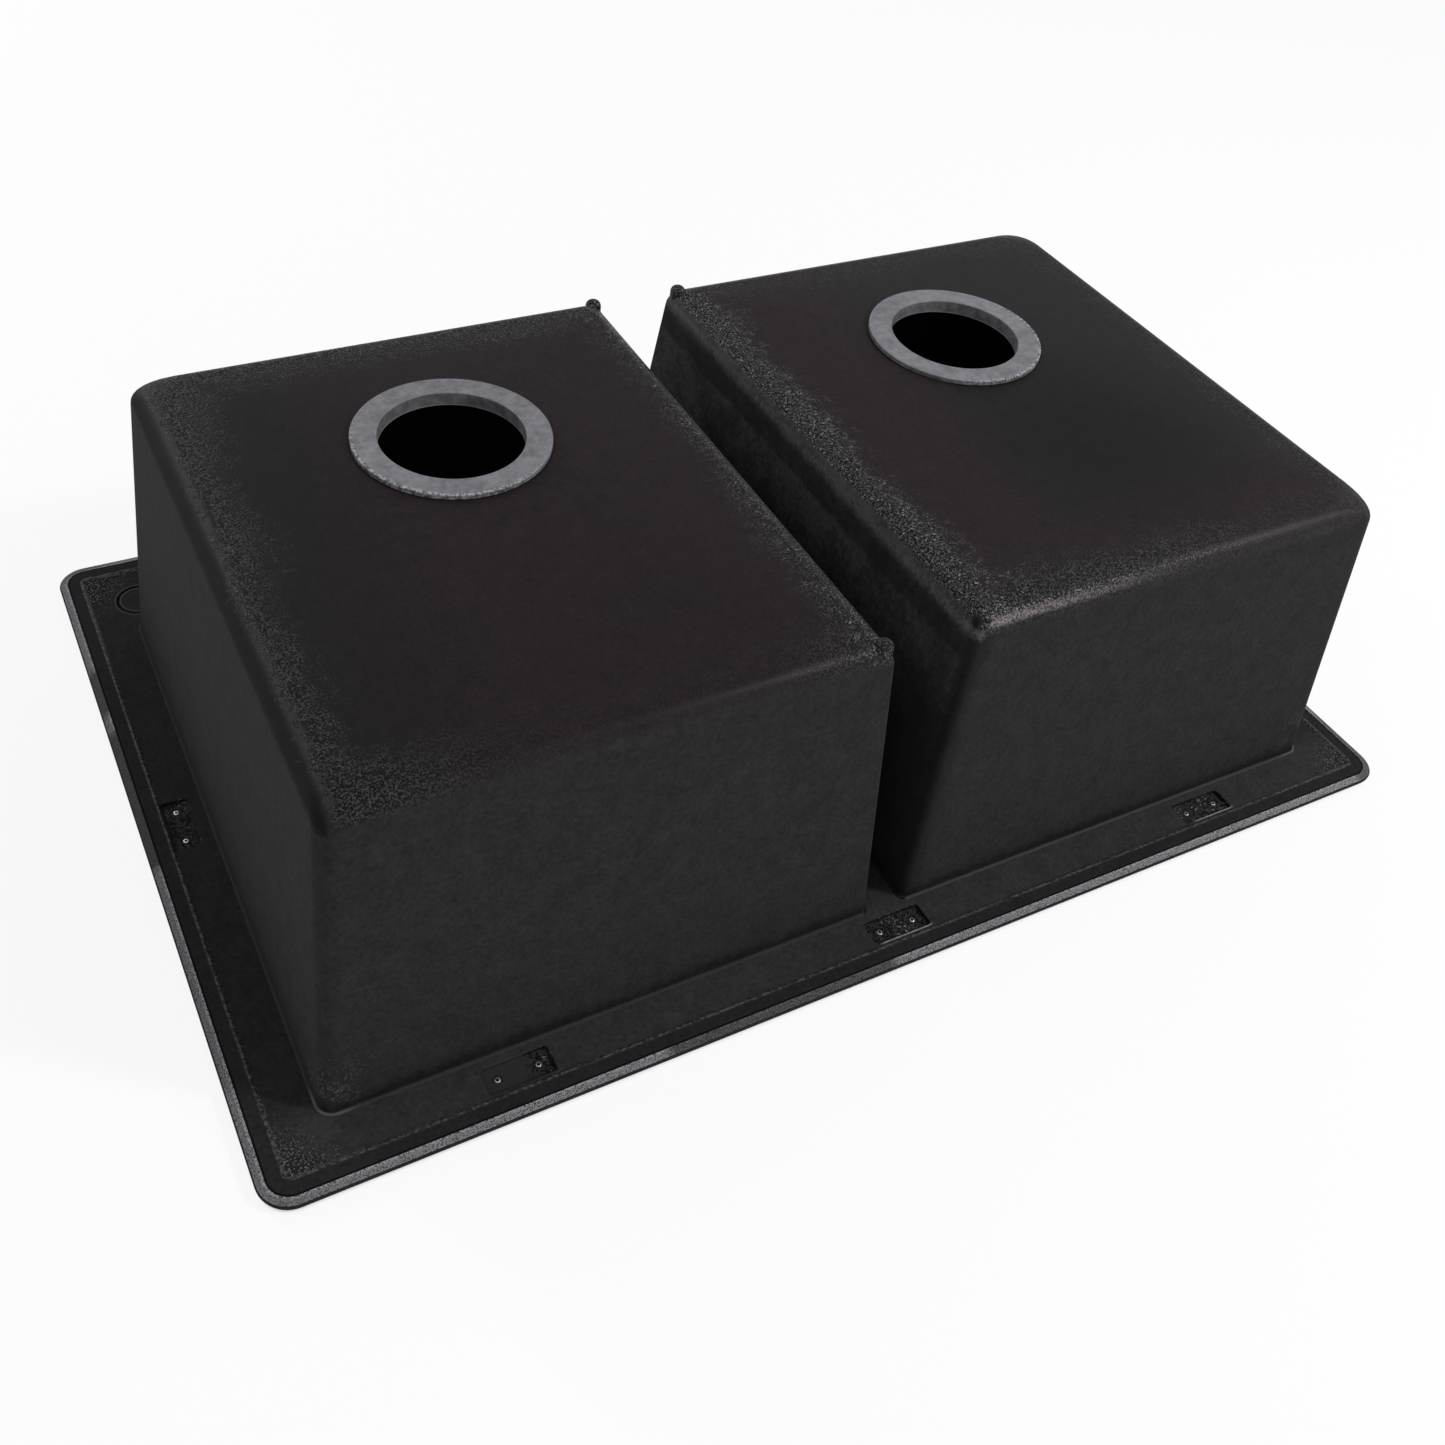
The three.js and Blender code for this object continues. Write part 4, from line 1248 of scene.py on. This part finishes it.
class SINK_OT_build_stage(bpy.types.Operator):
    """Lays the floor and sets the lights and the camera"""

    bl_idname = "sink.build_stage"
    bl_label = "Build stage"

    def execute(self, context):
        s = context.scene.sink_stage
        self.lay_floor(s)
        self.light(context, s)
        self.set_camera(context, s)
        return {"FINISHED"}

    def lay_floor(self, s):
        bpy.ops.mesh.primitive_plane_add(size=s.floor_size, location=(0, 0, -0.1 * MM))
        floor = bpy.context.active_object
        name_it(floor, "stage_floor")
        n = MaterialNodes("stage_white")
        n.finish((0.9, 0.9, 0.9), 0.9, specular=0.05)
        # Under the sink the floor doesn't glow, as it is seen through the drain holes.
        x, y, _ = n.split()
        beside = n.fade(rim_inset_nodes(n, n.absolute(x), y), 0.0, 4 * MM)
        mix = n.add("ShaderNodeMixShader")
        for source, socket in zip((n.times(seen_directly(n), s.floor_glow, beside),
                                   n.shader.outputs[0],
                                   n.add("ShaderNodeEmission").outputs[0]), mix.inputs):
            n.link(source, socket)
        n.link(mix.outputs[0], n.tree.nodes["Material Output"].inputs["Surface"])
        floor.data.materials.append(n.material)

    def light(self, context, s):
        world = bpy.data.worlds.new("stage_world")
        context.scene.world = world
        n = Nodes(world)
        background = n.tree.nodes["Background"].inputs
        n.link((1, 1, 1), background["Color"])
        n.link(n.mix(seen_directly(n), s.dome, 1.0), background["Strength"])
        for name, way, power, size, tint in (
                ("key", (1.646, -1.423, 1.907), s.key_power, 0.3, (1, 0.97, 0.98)),
                ("rim", (-0.42, 0.78, 0.46), s.rim_power, 0.5, (0.9, 0.94, 1)),
                ("fill", (-0.45, -0.85, 0.20), s.fill_power, 1.6, (1, 1, 1))):
            place = Vector(way).normalized() * s.light_distance
            bpy.ops.object.light_add(type="AREA", location=place)
            lamp = bpy.context.active_object
            lamp.name = name
            lamp.rotation_euler = place.to_track_quat("Z", "Y").to_euler()
            lamp.data.energy = power
            lamp.data.size = size
            lamp.data.color = tint

    def set_camera(self, context, s):
        bpy.ops.object.camera_add(location=s.camera_place, rotation=s.camera_turn)
        camera = bpy.context.active_object
        camera.name = "photo_camera"
        camera.data.lens = s.lens
        camera.data.sensor_width = 36
        camera.data.shift_x, camera.data.shift_y = s.camera_shift
        camera.data.clip_start = 0.01
        context.scene.camera = camera


class SINK_PT_panel(bpy.types.Panel):
    """Lists the sink's settings and its building steps"""

    bl_label = "Sink"
    bl_idname = "SINK_PT_panel"
    bl_space_type = "VIEW_3D"
    bl_region_type = "UI"
    bl_category = "Sink"

    def draw(self, context):
        for title, group in SETTINGS:
            box = self.layout.box()
            box.label(text=title)
            settings = getattr(context.scene, group)
            for name in settings.__annotations__:
                box.prop(settings, name)
        for operator in BUILDERS:
            self.layout.operator(operator.bl_idname)


SETTINGS = (("Rim", "sink_rim"), ("Bowls", "sink_bowl"), ("Drains", "sink_drain"),
            ("Inserts", "sink_insert"), ("Finish", "sink_finish"), ("Stage", "sink_stage"))
GROUPS = (SinkRimSettings, SinkBowlSettings, SinkDrainSettings, SinkInsertSettings,
          SinkFinishSettings, SinkStageSettings)
BUILDERS = (SINK_OT_build_rim, SINK_OT_build_bowls, SINK_OT_build_collars,
            SINK_OT_build_inserts, SINK_OT_build_stage)


def register():
    for item in (*GROUPS, *BUILDERS, SINK_PT_panel):
        bpy.utils.register_class(item)
    for (_, name), group in zip(SETTINGS, GROUPS):
        setattr(bpy.types.Scene, name, PointerProperty(type=group))


def unregister():
    for _, name in SETTINGS:
        delattr(bpy.types.Scene, name)
    for item in reversed((*GROUPS, *BUILDERS, SINK_PT_panel)):
        bpy.utils.unregister_class(item)


def main():
    register()
    bpy.context.scene.view_settings.view_transform = "Standard"
    bpy.ops.sink.build_rim()
    bpy.ops.sink.build_bowls()
    bpy.ops.sink.build_collars()
    bpy.ops.sink.build_inserts()
    bpy.ops.sink.build_stage()


if __name__ == "__main__":
    main()
